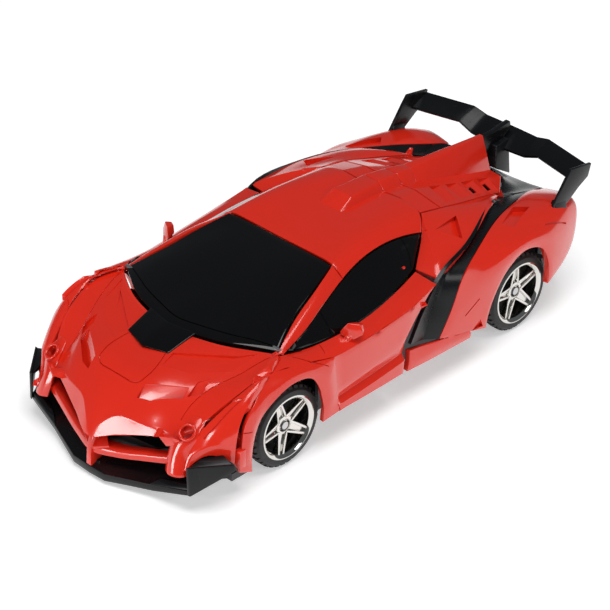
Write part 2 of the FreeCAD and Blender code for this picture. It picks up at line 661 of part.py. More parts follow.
def build_parts():
    hood_shape = hood()
    roof_shape = roof_shell()
    for side in (-1, 1):
        hood_shape = knuckles(hood_shape, 36.9, 38.3, 38.4, 40.4, -2.4, side)
        roof_shape = knuckles(roof_shape, 38.7, 40.1, 36.6, 38.6, 2.6, side)
    arm = arm_shell()
    parts = {
        "hood": hood_shape,
        "hood_insert": hood_insert(),
        "grille": grille(),
        "crossbar": crossbar(),
        "splitter": splitter(),
        "lamp_lenses": Part.makeCompound([lamp_lens(1), lamp_lens(-1)]),
        "roof_shell": roof_shape,
        "roof_strip": roof_strip(),
        "engine_cover": engine_cover(),
        "windscreen": windscreen(),
        "rear_deck": rear_deck(),
        "tail_panel": tail_panel(),
        "rear_wing": wing_blade(),
        "wing_support": wing_support(),
        "hinge_pins": Part.makeCompound([clip_pin(1), clip_pin(-1), arm_pin(1), arm_pin(-1)]),
        "chassis": chassis(),
        "battery_box": battery_box(),
        "battery_cells": Part.makeCompound(battery_cells()),
        "battery_door": battery_door(),
        "door_screws": Part.makeCompound(door_screws()),
        "circuit_board": circuit_board(),
        "gearbox_housing": gearbox(),
        "gear_motors": Part.makeCompound([drive_motor(), transform_motor()]),
        "motor_pinion": motor_pinion(),
        "rear_axle": rear_axle(),
        "axle_gear": axle_gear(),
        "transform_gearbox": transform_gearbox(),
        "power_switch": power_switch(),
        "belly_armour": Part.makeCompound([chest_plate(), leg_plate(), mirrored(leg_plate())]),
        "head": head(),
        "face_plate": face_plate(),
        "foot_base": foot_base(),
        "foot_pin": foot_pin(),
        "foot_gear": foot_gear(),
    }
    pairs = {
        "bumper": bumper_left().cut(lamp_lens(1)),
        "side_window": side_window(),
        "sail_panel": sail_panel(),
        "intake_strip": intake_strip(),
        "rear_quarter": rear_quarter(),
        "front_fender_door": arm,
        "door_mirror": mirror_head().cut(arm),
        "fist": fist(),
        "stub_axle": stub_axle(),
        "front_tyre": tyre(FRONT_AXLE_Y),
        "front_rim": rim(FRONT_AXLE_Y, AXLE_RADIUS + PIN_CLEARANCE),
        "rear_tyre": tyre(REAR_AXLE_Y),
        "rear_rim": rim(REAR_AXLE_Y, AXLE_RADIUS),
    }
    for name, shape in pairs.items():
        parts[name + "_left"] = shape
        parts[name + "_right"] = mirrored(shape)
    return parts


def main():
    os.makedirs("parts", exist_ok=True)
    for name, shape in build_parts().items():
        if not shape.isValid():
            print("not valid:", name)
        shape.translate(ORIGIN_SHIFT)
        shape.exportStep("parts/" + name + ".step")
        print(name, len(shape.Solids), round(shape.Volume))


main()
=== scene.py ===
import json
import logging
import math
from collections.abc import Callable
from dataclasses import dataclass
from enum import Enum

import bmesh
import bpy
import numpy as np
from mathutils import Matrix, Vector
from mathutils.bvhtree import BVHTree

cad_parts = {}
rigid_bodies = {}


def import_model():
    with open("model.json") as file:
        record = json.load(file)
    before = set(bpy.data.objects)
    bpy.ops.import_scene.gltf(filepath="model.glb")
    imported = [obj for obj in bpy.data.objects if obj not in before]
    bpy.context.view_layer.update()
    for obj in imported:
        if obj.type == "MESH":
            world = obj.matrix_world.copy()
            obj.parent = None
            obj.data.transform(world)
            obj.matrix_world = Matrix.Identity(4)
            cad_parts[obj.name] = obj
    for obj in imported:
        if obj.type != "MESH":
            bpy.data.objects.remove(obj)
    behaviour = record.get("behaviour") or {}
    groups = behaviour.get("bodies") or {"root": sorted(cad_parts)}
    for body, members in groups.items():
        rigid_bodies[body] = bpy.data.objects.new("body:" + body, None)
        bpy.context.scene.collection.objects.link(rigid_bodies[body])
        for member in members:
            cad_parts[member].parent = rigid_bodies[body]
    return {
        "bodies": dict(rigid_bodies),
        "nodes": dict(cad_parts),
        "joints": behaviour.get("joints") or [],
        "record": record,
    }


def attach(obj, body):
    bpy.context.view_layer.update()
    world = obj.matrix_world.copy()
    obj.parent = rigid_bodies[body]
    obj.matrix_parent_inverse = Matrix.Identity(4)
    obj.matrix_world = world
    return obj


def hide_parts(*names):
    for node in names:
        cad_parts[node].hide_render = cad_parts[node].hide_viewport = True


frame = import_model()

LOG = logging.getLogger("robot_car")
MM = 0.001
DRAWN_ORIGIN_Y = 3.25
CORE_FRONT, CORE_REAR, CORE_HEIGHT = -88.0, 84.0, 20.0
HALF_WHEELBASE = 62.5
# pointiness above which an edge gets a painted highlight (a paler colour) and a rougher finish
EDGE_HIGHLIGHT_OVER = 0.56
SCUFFED_OVER = 0.66
MERGE_DISTANCE = 0.02 * MM
SEARCH_REACH = 8 * MM
POCKET_PROUD = 2.5
GROOVE_PROUD = 0.8
Point = tuple[float, float, float]
Row = list[Point]


def metres(point: Point) -> Vector:
    """A point of the drawing, in millimetres about the wheelbase, in the frame's metres."""
    return Vector((point[0], point[1] + DRAWN_ORIGIN_Y, point[2])) * MM


def flipped(row: Row) -> Row:
    """The same row on the other side of the car."""
    return [(-x, y, z) for x, y, z in row]


def both_sides(rows: list[Row]) -> list[Row]:
    """Rows from the middle outward, joined with their mirror images."""
    return [flipped(row) for row in reversed(rows[1:])] + rows


def across(row: Row) -> Row:
    """A row from the middle outward, led in by its mirror image."""
    return flipped(row[:0:-1]) + row


def four_corners(first: Point, second: Point) -> Row:
    """A four-cornered outline across the car from its two left corners."""
    return [*flipped([first]), first, second, *flipped([second])]


SIDES: tuple[Callable[[Row], Row], ...] = (list, flipped)


def between(first: Row, second: Row, share: float = 0.5, push: Point = (0, 0, 0)) -> Row:
    """A row part of the way from one row to another, pushed aside.

    Args:
        first: the row at share 0.
        second: the row at share 1.
        share: how far along the new row lies.
        push: millimetres added to each inner point.

    Returns:
        The new row, whose end points are not pushed.
    """
    row = []
    for k, (a, b) in enumerate(zip(first, second)):
        weight = 0.0 if k in (0, len(first) - 1) else 1.0
        row.append(tuple(a[i] + (b[i] - a[i]) * share + push[i] * weight for i in range(3)))
    return row


# shader building


class Value:
    """A shader socket on which arithmetic can be written."""

    def __init__(self, tree: bpy.types.NodeTree, socket: bpy.types.NodeSocket) -> None:
        """Keeps the socket and the tree that it belongs to.

        Args:
            tree: the node tree.
            socket: one of its sockets.
        """
        self.tree = tree
        self.socket = socket

    def _math(self, operation: str, first: "Value | float", second: "Value | float") -> "Value":
        """One Math node on two operands.

        Args:
            operation: the Math node's operation.
            first: its first operand.
            second: its second operand.

        Returns:
            The node's result.
        """
        node = self.tree.nodes.new("ShaderNodeMath")
        node.operation = operation
        for socket, operand in zip(node.inputs, (first, second)):
            if isinstance(operand, Value):
                self.tree.links.new(operand.socket, socket)
            else:
                socket.default_value = operand
        return Value(self.tree, node.outputs[0])

    def __add__(self, other: "Value | float") -> "Value":
        """Sum."""
        return self._math("ADD", self, other)

    def __mul__(self, other: "Value | float") -> "Value":
        """Product."""
        return self._math("MULTIPLY", self, other)

    def __gt__(self, other: float) -> "Value":
        """One where it is over the number."""
        return self._math("GREATER_THAN", self, other)


class Recipe:
    """The node tree of one material."""

    def __init__(self, name: str) -> None:
        """Makes an empty material with its output and main shader.

        Args:
            name: the material's name.
        """
        self.material = bpy.data.materials.new(name)
        self.material.use_nodes = True
        self.tree = self.material.node_tree
        self.shader = self.tree.nodes["Principled BSDF"]

    def node(self, kind: str, output: int | str = 0, **values: object) -> Value:
        """Adds any node.

        Args:
            kind: the node's type.
            output: which output is wanted.
            values: socket names, with _ for a space, and their values or links.

        Returns:
            The wanted output.
        """
        node = self.tree.nodes.new(kind)
        for key, value in values.items():
            self.feed(node.inputs[key.replace("_", " ")], value)
        return Value(self.tree, node.outputs[output])

    def feed(self, socket: bpy.types.NodeSocket, value: object) -> None:
        """Links a Value to a socket, or sets a plain number or colour on it.

        Args:
            socket: the input to fill.
            value: a Value to link, or a plain number or colour.
        """
        if isinstance(value, Value):
            self.tree.links.new(value.socket, socket)
        else:
            socket.default_value = value

    def mix(self, share: Value, first: object, second: object) -> Value:
        """A colour between two colours.

        Args:
            share: the part of the second colour.
            first: the colour or link at share 0.
            second: the colour or link at share 1.

        Returns:
            The mixed colour.
        """
        node = self.tree.nodes.new("ShaderNodeMix")
        node.data_type = "RGBA"
        self.feed(node.inputs[0], share)
        self.feed(node.inputs[6], first)
        self.feed(node.inputs[7], second)
        return Value(self.tree, node.outputs[2])


class Grain(Enum):
    """How a surface is broken up: the scale of its noise and the strength of its relief."""

    POLISHED = (900.0, 0.012)
    SATIN = (2600.0, 0.06)
    SPARK = (3400.0, 0.22)
    TURNED = (1500.0, 0.05)


@dataclass(frozen=True)
class Finish:
    """One material slot's look."""

    slot: str
    colour: Point
    roughness: float
    grain: Grain = Grain.SATIN
    metallic: float = 0.0
    coat: float = 0.0
    mottle: float = 0.12
    specular: float = 0.5

    def material(self) -> bpy.types.Material:
        """Builds the material once and returns it afterwards.

        Returns:
            The finish's material.
        """
        name = "finish_" + self.slot
        if name in bpy.data.materials:
            return bpy.data.materials[name]
        recipe = Recipe(name)
        place = recipe.node("ShaderNodeTexCoord", output="Object")
        drift = recipe.node("ShaderNodeTexNoise", Vector=place, Scale=60.0, Detail=3.0)
        scale, relief = self.grain.value
        fine = recipe.node("ShaderNodeTexNoise", Vector=place, Scale=scale, Detail=2.0)
        scuffs = recipe.node("ShaderNodeTexNoise", Vector=place, Scale=240.0, Detail=6.0, Distortion=2.0)
        edge = recipe.node("ShaderNodeNewGeometry", output="Pointiness")
        # painted highlight: sharp edges get a paler colour that stands in for light catching them; the same
        # mask also roughens them
        painted_edge_highlight = (edge > EDGE_HIGHLIGHT_OVER) * 0.25
        full = (*self.colour, 1.0)
        deep = (*(c * (1.0 - self.mottle) for c in self.colour), 1.0)
        # the paler colour of the painted edge highlight
        pale = (*(min(1.0, c * 1.15 + 0.012) for c in self.colour), 1.0)
        tone = recipe.mix(drift, deep, full)
        recipe.feed(recipe.shader.inputs["Base Color"], recipe.mix(painted_edge_highlight, tone, pale))
        rubbed = (scuffs > SCUFFED_OVER) * (0.05 if self.grain is Grain.POLISHED else 0.09)
        roughness = drift * (self.roughness * 0.3) + rubbed + (self.roughness * 0.85) + painted_edge_highlight * 0.2
        recipe.feed(recipe.shader.inputs["Roughness"], roughness)
        bump = recipe.node("ShaderNodeBump", Height=fine, Strength=relief, Distance=0.0002)
        recipe.feed(recipe.shader.inputs["Normal"], bump)
        recipe.shader.inputs["Metallic"].default_value = self.metallic
        recipe.shader.inputs["Coat Weight"].default_value = self.coat
        recipe.shader.inputs["Coat Roughness"].default_value = 0.03
        recipe.shader.inputs["Specular IOR Level"].default_value = self.specular
        return recipe.material

    def dress(self, piece: bpy.types.Object) -> None:
        """Gives a piece this finish in its first slot.

        Args:
            piece: the piece to dress.
        """
        piece.data.materials.clear()
        piece.data.materials.append(self.material())


FINISHES = {finish.slot: finish for finish in (
    Finish("red_shell", (0.76, 0.024, 0.009), 0.16, Grain.POLISHED, coat=0.35, mottle=0.06),
    Finish("black_trim", (0.0045, 0.005, 0.006), 0.26, Grain.SATIN, specular=0.28),
    Finish("dark_window", (0.0022, 0.0022, 0.0026), 0.05, Grain.POLISHED, specular=0.4),
    Finish("lamp_lens", (0.36, 0.01, 0.008), 0.12, Grain.POLISHED, coat=0.5),
    Finish("steel", (0.56, 0.56, 0.57), 0.28, Grain.TURNED, metallic=1.0),
    Finish("motor_can", (0.6, 0.6, 0.6), 0.34, Grain.TURNED, metallic=1.0),
    Finish("frame_grey", (0.03, 0.03, 0.033), 0.45, Grain.SPARK),
    Finish("robot_grey", (0.12, 0.125, 0.135), 0.36, Grain.SATIN),
    Finish("head_blue", (0.03, 0.09, 0.3), 0.22, Grain.POLISHED, coat=0.3),
    Finish("face_silver", (0.6, 0.61, 0.63), 0.3, Grain.SATIN, metallic=0.8),
    Finish("gear_nylon", (0.78, 0.77, 0.72), 0.4, Grain.SATIN),
    Finish("cell_wrap", (0.1, 0.11, 0.12), 0.25, Grain.POLISHED, metallic=0.3),
    Finish("board_green", (0.02, 0.16, 0.06), 0.3, Grain.SATIN),
    Finish("tyre_rubber", (0.014, 0.0145, 0.0145), 0.62, Grain.SPARK),
    Finish("rim_chrome", (0.66, 0.65, 0.62), 0.07, Grain.POLISHED, metallic=1.0, mottle=0.04),
)}


# mesh building


def deselect() -> None:
    """Leaves nothing selected, so that an operator only meets what it should."""
    for piece in bpy.context.selected_objects:
        piece.select_set(False)


def activate(piece: bpy.types.Object) -> None:
    """Selects one piece only and makes it the active one.

    Args:
        piece: the piece that the next operator works on.
    """
    deselect()
    piece.select_set(True)
    bpy.context.view_layer.objects.active = piece


def modify(piece: bpy.types.Object, kind: str, **settings: object) -> None:
    """Adds a modifier and applies it.

    Args:
        piece: the piece to change.
        kind: the modifier's type.
        settings: its properties.
    """
    modifier = piece.modifiers.new(kind.title(), kind)
    for key, value in settings.items():
        setattr(modifier, key, value)
    activate(piece)
    bpy.ops.object.modifier_apply(modifier=modifier.name)


def soften(piece: bpy.types.Object, angle: float = 32.0) -> None:
    """Shades a piece smooth except over its hard edges.

    Args:
        piece: the piece to shade.
        angle: the angle in degrees from which an edge stays hard.
    """
    activate(piece)
    bpy.ops.object.shade_smooth_by_angle(angle=math.radians(angle))


def piece_from(name: str, vertices: list, faces: list) -> bpy.types.Object:
    """Makes an object at the origin from vertices in metres.

    Args:
        name: the new piece's name.
        vertices: its points.
        faces: the numbers of the points of each face.

    Returns:
        The new object, linked to the scene.
    """
    mesh = bpy.data.meshes.new(name)
    mesh.from_pydata([tuple(v) for v in vertices], [], faces)
    mesh.validate()
    piece = bpy.data.objects.new(name, mesh)
    bpy.context.scene.collection.objects.link(piece)
    return piece


def outward(piece: bpy.types.Object) -> None:
    """Merges doubles and turns the faces of a closed mesh outward.

    Args:
        piece: the piece to clean.
    """
    work = bmesh.new()
    work.from_mesh(piece.data)
    bmesh.ops.remove_doubles(work, verts=work.verts, dist=0.004 * MM)
    bmesh.ops.recalc_face_normals(work, faces=work.faces)
    work.to_mesh(piece.data)
    work.free()


def tube(name: str, sections: list[list[Vector]]) -> bpy.types.Object:
    """A closed solid through cross sections of equally many points.

    Args:
        name: the new piece's name.
        sections: the cross sections from one end to the other, in metres.

    Returns:
        The solid, with its faces outward.
    """
    count = len(sections[0])
    last = count * (len(sections) - 1)
    faces = [tuple(range(count))[::-1], tuple(range(last, last + count))]
    for start in range(0, last, count):
        for k in range(count):
            j = (k + 1) % count
            faces.append((start + k, start + j, start + count + j, start + count + k))
    piece = piece_from(name, [point for section in sections for point in section], faces)
    outward(piece)
    return piece


def round_edges(piece: bpy.types.Object, radius: float, angle: float = 30.0, segments: int = 2) -> None:
    """Rounds the edges that are sharper than an angle.

    Args:
        piece: the piece to change.
        radius: the rounding's width in millimetres.
        angle: the least angle of an edge that is rounded, in degrees.
        segments: the faces across an edge.
    """
    modify(piece, "BEVEL", width=radius * MM, segments=segments, limit_method="ANGLE",
           angle_limit=math.radians(angle))


def join(name: str, pieces: list[bpy.types.Object]) -> bpy.types.Object:
    """Joins pieces into one object with a new name.

    Args:
        name: the joined piece's name.
        pieces: the pieces, of which the first stays.

    Returns:
        The joined piece.
    """
    deselect()
    for piece in pieces:
        piece.select_set(True)
    bpy.context.view_layer.objects.active = pieces[0]
    if len(pieces) > 1:
        bpy.ops.object.join()
    pieces[0].name = name
    return pieces[0]


def copy_of(piece: bpy.types.Object, name: str, matrix: Matrix) -> bpy.types.Object:
    """A copy with its own mesh, moved by a matrix that may also mirror it.

    Args:
        piece: the piece to copy.
        name: the copy's name.
        matrix: what moves the copy's mesh.

    Returns:
        The copy.
    """
    copy = piece.copy()
    copy.data = piece.data.copy()
    copy.name = name
    copy.data.transform(matrix)
    if matrix.determinant() < 0:
        copy.data.flip_normals()
    bpy.context.scene.collection.objects.link(copy)
    return copy


MIRROR = Matrix.Scale(-1, 4, (1, 0, 0))


def with_mirrors(pieces: list[bpy.types.Object]) -> list[bpy.types.Object]:
    """Left pieces, each followed by its mirror image."""
    return [one for piece in pieces for one in (piece, copy_of(piece, piece.name + "_right", MIRROR))]


def smooth_line(points: np.ndarray, breaks: tuple[int, ...], steps: int) -> np.ndarray:
    """A curve through points, with corners where it breaks.

    Args:
        points: the points that it passes through.
        breaks: the numbers of the points where it turns a corner.
        steps: the pieces in each stretch between two points.

    Returns:
        The points along the curve.
    """
    last = len(points) - 1
    chord = np.maximum(np.linalg.norm(np.diff(points, axis=0), axis=1), 1e-6)
    slope = np.diff(points, axis=0) / chord[:, None]

    def inner(j: int) -> np.ndarray | None:
        """The tangent at a point that is neither an end nor a corner.

        Args:
            j: the point's number.

        Returns:
            The tangent, or None at an end or a corner.
        """
        if j in (0, last) or j in breaks:
            return None
        return (slope[j - 1] * chord[j] + slope[j] * chord[j - 1]) / (chord[j] + chord[j - 1])

    curve = []
    for k in range(last):
        start, end = inner(k), inner(k + 1)
        if start is None:
            start = slope[k] if end is None else 1.5 * slope[k] - 0.5 * end
        if end is None:
            end = slope[k] if inner(k) is None else 1.5 * slope[k] - 0.5 * start
        for t in np.arange(steps) / steps:
            curve.append((2 * t ** 3 - 3 * t ** 2 + 1) * points[k]
                         + (t ** 3 - 2 * t ** 2 + t) * chord[k] * start
                         + (3 * t ** 2 - 2 * t ** 3) * points[k + 1] + (t ** 3 - t ** 2) * chord[k] * end)
    curve.append(points[last])
    return np.array(curve)


@dataclass
class Patch:
    """A smooth sheet through a grid of points, with creases along chosen rows and columns."""

    rows: list[Row]
    sharp_rows: tuple[int, ...] = ()
    sharp_columns: tuple[int, ...] = ()
    steps: int = 6

    def grid(self) -> np.ndarray:
        """The fine grid of points in millimetres."""
        coarse = [smooth_line(np.array(row, float), self.sharp_columns, self.steps) for row in self.rows]
        columns = np.stack(coarse, axis=1)
        return np.array([smooth_line(column, self.sharp_rows, self.steps) for column in columns])


@dataclass
class Groove:
    """A narrow channel along a line on a panel."""

    line: Row
    toward: Point
    width: float = 0.5
    depth: float = 0.6
    breaks: tuple[int, ...] = ()

    def cutter(self, surface: BVHTree) -> bpy.types.Object:
        """The channel's solid, laid on the surface.

        Args:
            surface: the panel's skin.

        Returns:
            The solid to cut away.
        """
        line = smooth_line(np.array(self.line, float), self.breaks, 5)
        inward = Vector(self.toward).normalized()
        points = [snapped(surface, metres(tuple(p)), inward) for p in line]
        corners = ((-1, -GROOVE_PROUD), (1, -GROOVE_PROUD), (0.6, self.depth), (-0.6, self.depth))
        sections = []
        for k, point in enumerate(points):
            along = (points[min(k + 1, len(points) - 1)] - points[max(k - 1, 0)]).normalized()
            aside = along.cross(inward).normalized() * self.width * 0.5 * MM
            sections.append([point + aside * side + inward * level * MM for side, level in corners])
        return tube("groove", sections)


@dataclass
class Pocket:
    """A hollow in a panel whose floor has its own depth at each corner."""

    outline: Row
    depths: tuple[float, ...]
    toward: Point

    def cutter(self, surface: BVHTree) -> bpy.types.Object:
        """The pocket's solid, hung from the surface.

        Args:
            surface: the panel's skin.

        Returns:
            The solid to cut away.
        """
        inward = Vector(self.toward).normalized()
        points = [snapped(surface, metres(p), inward) for p in self.outline]
        count = len(points)
        middle = sum(points, Vector()) / count
        floor = sum(self.depths) / count
        vertices = [p - inward * POCKET_PROUD * MM for p in points]
        vertices += [p + inward * d * MM for p, d in zip(points, self.depths)]
        vertices += [middle - inward * POCKET_PROUD * MM, middle + inward * floor * MM]
        faces = []
        for k in range(count):
            j = (k + 1) % count
            faces += [(k, j, count + j, count + k), (2 * count, j, k), (2 * count + 1, count + k,
                                                                        count + j)]
        return piece_from("pocket", vertices, faces)


def snapped(surface: BVHTree, point: Vector, inward: Vector) -> Vector:
    """The place on the surface that a point stands over, or the nearest one.

    Args:
        surface: the panel's skin.
        point: the drawn point.
        inward: the direction into the panel.

    Returns:
        The point on the surface.
    """
    hit = surface.ray_cast(point - inward * SEARCH_REACH, inward, 2 * SEARCH_REACH)[0]
    return hit if hit is not None else surface.find_nearest(point)[0]


def carve(piece: bpy.types.Object, cutter: bpy.types.Object) -> None:
    """Cuts a solid out of a piece and removes the cutter.

    Args:
        piece: the piece to cut.
        cutter: the solid to cut away.
    """
    outward(cutter)
    modify(piece, "BOOLEAN", operation="DIFFERENCE", solver="EXACT", object=cutter)
    bpy.data.objects.remove(cutter)


@dataclass
class Panel:
    """A moulded skin of one or more patches, with its seam, thickness and details."""

    name: str
    patches: list[Patch]
    depth: float = 1.6
    gap: float = 0.2
    edge: float = 0.28
    grooves: tuple[Groove, ...] = ()
    pockets: tuple[Pocket, ...] = ()
    smooth_angle: float = 32.0

    def sheet(self) -> bpy.types.Object:
        """The bare sheet, with its normals away from the car's core."""
        work = bmesh.new()
        for patch in self.patches:
            fine = patch.grid()
            grid = [[work.verts.new(metres(tuple(p))) for p in row] for row in fine]
            for upper, lower in zip(grid, grid[1:]):
                for k in range(len(upper) - 1):
                    work.faces.new((upper[k], upper[k + 1], lower[k + 1], lower[k]))
        bmesh.ops.remove_doubles(work, verts=work.verts, dist=MERGE_DISTANCE)
        bmesh.ops.dissolve_degenerate(work, edges=work.edges, dist=MERGE_DISTANCE)
        bmesh.ops.recalc_face_normals(work, faces=work.faces)
        facing = 0.0
        for face in work.faces:
            centre = face.calc_center_median()
            core = metres((0, min(max(centre.y / MM - DRAWN_ORIGIN_Y, CORE_FRONT), CORE_REAR), CORE_HEIGHT))
            facing += face.normal.dot(centre - core) * face.calc_area()
        if facing < 0:
            bmesh.ops.reverse_faces(work, faces=work.faces)
        self._draw_in(work)
        mesh = bpy.data.meshes.new(self.name)
        work.to_mesh(mesh)
        work.free()
        piece = bpy.data.objects.new(self.name, mesh)
        bpy.context.scene.collection.objects.link(piece)
        return piece

    def _draw_in(self, work: bmesh.types.BMesh) -> None:
        """Draws the rim in over the surface, so that neighbours leave a seam.

        Args:
            work: the sheet's mesh.
        """
        work.normal_update()
        pulls: dict = {}
        for edge in work.edges:
            if len(edge.link_faces) != 1:
                continue
            face = edge.link_faces[0]
            loop = next(l for l in face.loops if l.edge == edge)
            along = loop.link_loop_next.vert.co - loop.vert.co
            inward = face.normal.cross(along).normalized()
            for vertex in edge.verts:
                pulls.setdefault(vertex, []).append(inward)
        for vertex, inwards in pulls.items():
            if len(inwards) == 2:
                spread = max(1 + inwards[0].dot(inwards[1]), 0.7)
                vertex.co += (inwards[0] + inwards[1]) * (self.gap * MM / spread)

    def build(self) -> bpy.types.Object:
        """The finished panel."""
        piece = self.sheet()
        modify(piece, "SOLIDIFY", thickness=self.depth * MM, offset=-1.0, use_even_offset=False)
        if self.edge:
            round_edges(piece, self.edge, 50)
        if self.grooves or self.pockets:
            work = bmesh.new()
            work.from_mesh(piece.data)
            surface = BVHTree.FromBMesh(work)
            work.free()
            for detail in self.pockets + self.grooves:
                carve(piece, detail.cutter(surface))
        soften(piece, self.smooth_angle)
        return piece


def block(name: str, first: Row, second: Row, bevel: float = 0.25, segments: int = 2) -> bpy.types.Object:
    """A straight-sided solid between two outlines, with rounded edges.

    Args:
        name: the new piece's name.
        first: one outline.
        second: the other, with as many points.
        bevel: the radius of its edges in millimetres.
        segments: the faces across an edge.

    Returns:
        The solid.
    """
    piece = tube(name, [[metres(p) for p in outline] for outline in (first, second)])
    round_edges(piece, bevel, 25, segments)
    soften(piece)
    return piece


def plate(name: str, outline: Row, direction: Point, bevel: float = 0.25) -> bpy.types.Object:
    """A flat plate: an outline moved along a direction.

    Args:
        name: the new piece's name.
        outline: one face.
        direction: how far the other face lies from it.
        bevel: the radius of its edges.

    Returns:
        The plate.
    """
    dx, dy, dz = direction
    return block(name, outline, [(x + dx, y + dy, z + dz) for x, y, z in outline], bevel)


def box(name: str, low: Point, high: Point, bevel: float) -> bpy.types.Object:
    """A box between two opposite corners, with rounded edges.

    Args:
        name: the new piece's name.
        low: the corner where every measure is lowest.
        high: the opposite corner.
        bevel: the radius of its edges.

    Returns:
        The box.
    """
    (x0, y0, z0), (x1, y1, z1) = low, high
    outline = [(x0, y0, z0), (x1, y0, z0), (x1, y1, z0), (x0, y1, z0)]
    return plate(name, outline, (0, 0, z1 - z0), bevel)


def cylinder(name: str, centre: Point, toward: Point, radius: float, length: float,
             bevel: float = 0.2, sides: int = 40) -> bpy.types.Object:
    """A round rod with softened ends.

    Args:
        name: the new piece's name.
        centre: its middle, in the drawing's millimetres.
        toward: the direction of its axis.
        radius: its radius.
        length: its length.
        bevel: the radius of its end edges.
        sides: the faces around it.

    Returns:
        The rod.
    """
    deselect()
    turn = Vector((0, 0, 1)).rotation_difference(Vector(toward))
    bpy.ops.mesh.primitive_cylinder_add(vertices=sides, radius=radius * MM, depth=length * MM)
    piece = bpy.context.object
    piece.name = name
    piece.data.transform(Matrix.Translation(metres(centre)) @ turn.to_matrix().to_4x4())
    if bevel:
        round_edges(piece, bevel, 40)
    soften(piece)
    return piece


def fit(piece: bpy.types.Object, body: str, slot: str, replaces: tuple[str, ...] = ()) -> bpy.types.Object:
    """Dresses a finished piece and puts it on its body.

    Args:
        piece: the finished piece.
        body: the body that it moves with.
        slot: the material slot that it is dressed in.
        replaces: the plain nodes that it stands for.

    Returns:
        The piece.
    """
    FINISHES[slot].dress(piece)
    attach(piece, body)
    if replaces:
        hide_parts(*replaces)
    LOG.info("%s: %d faces on %s", piece.name, len(piece.data.polygons), body)
    return piece


def fit_pair(piece: bpy.types.Object, bodies: tuple[str, str], slot: str, node: str | None = None) -> None:
    """Fits a left piece and its mirror image.

    Args:
        piece: the left piece, whose name ends in _left.
        bodies: the left and the right body.
        slot: the material slot of both.
        node: the start of the nodes' names that they stand for.
    """
    stem = piece.name.removesuffix("_left")
    right = copy_of(piece, stem + "_right", MIRROR)
    for side, one, body in (("left", piece, bodies[0]), ("right", right, bodies[1])):
        fit(one, body, slot, (f"{node}_{side}",) if node else ())


DOWN = (0.0, 0.0, -1.0)
INWARD = (-1.0, 0.0, 0.0)


# front clip


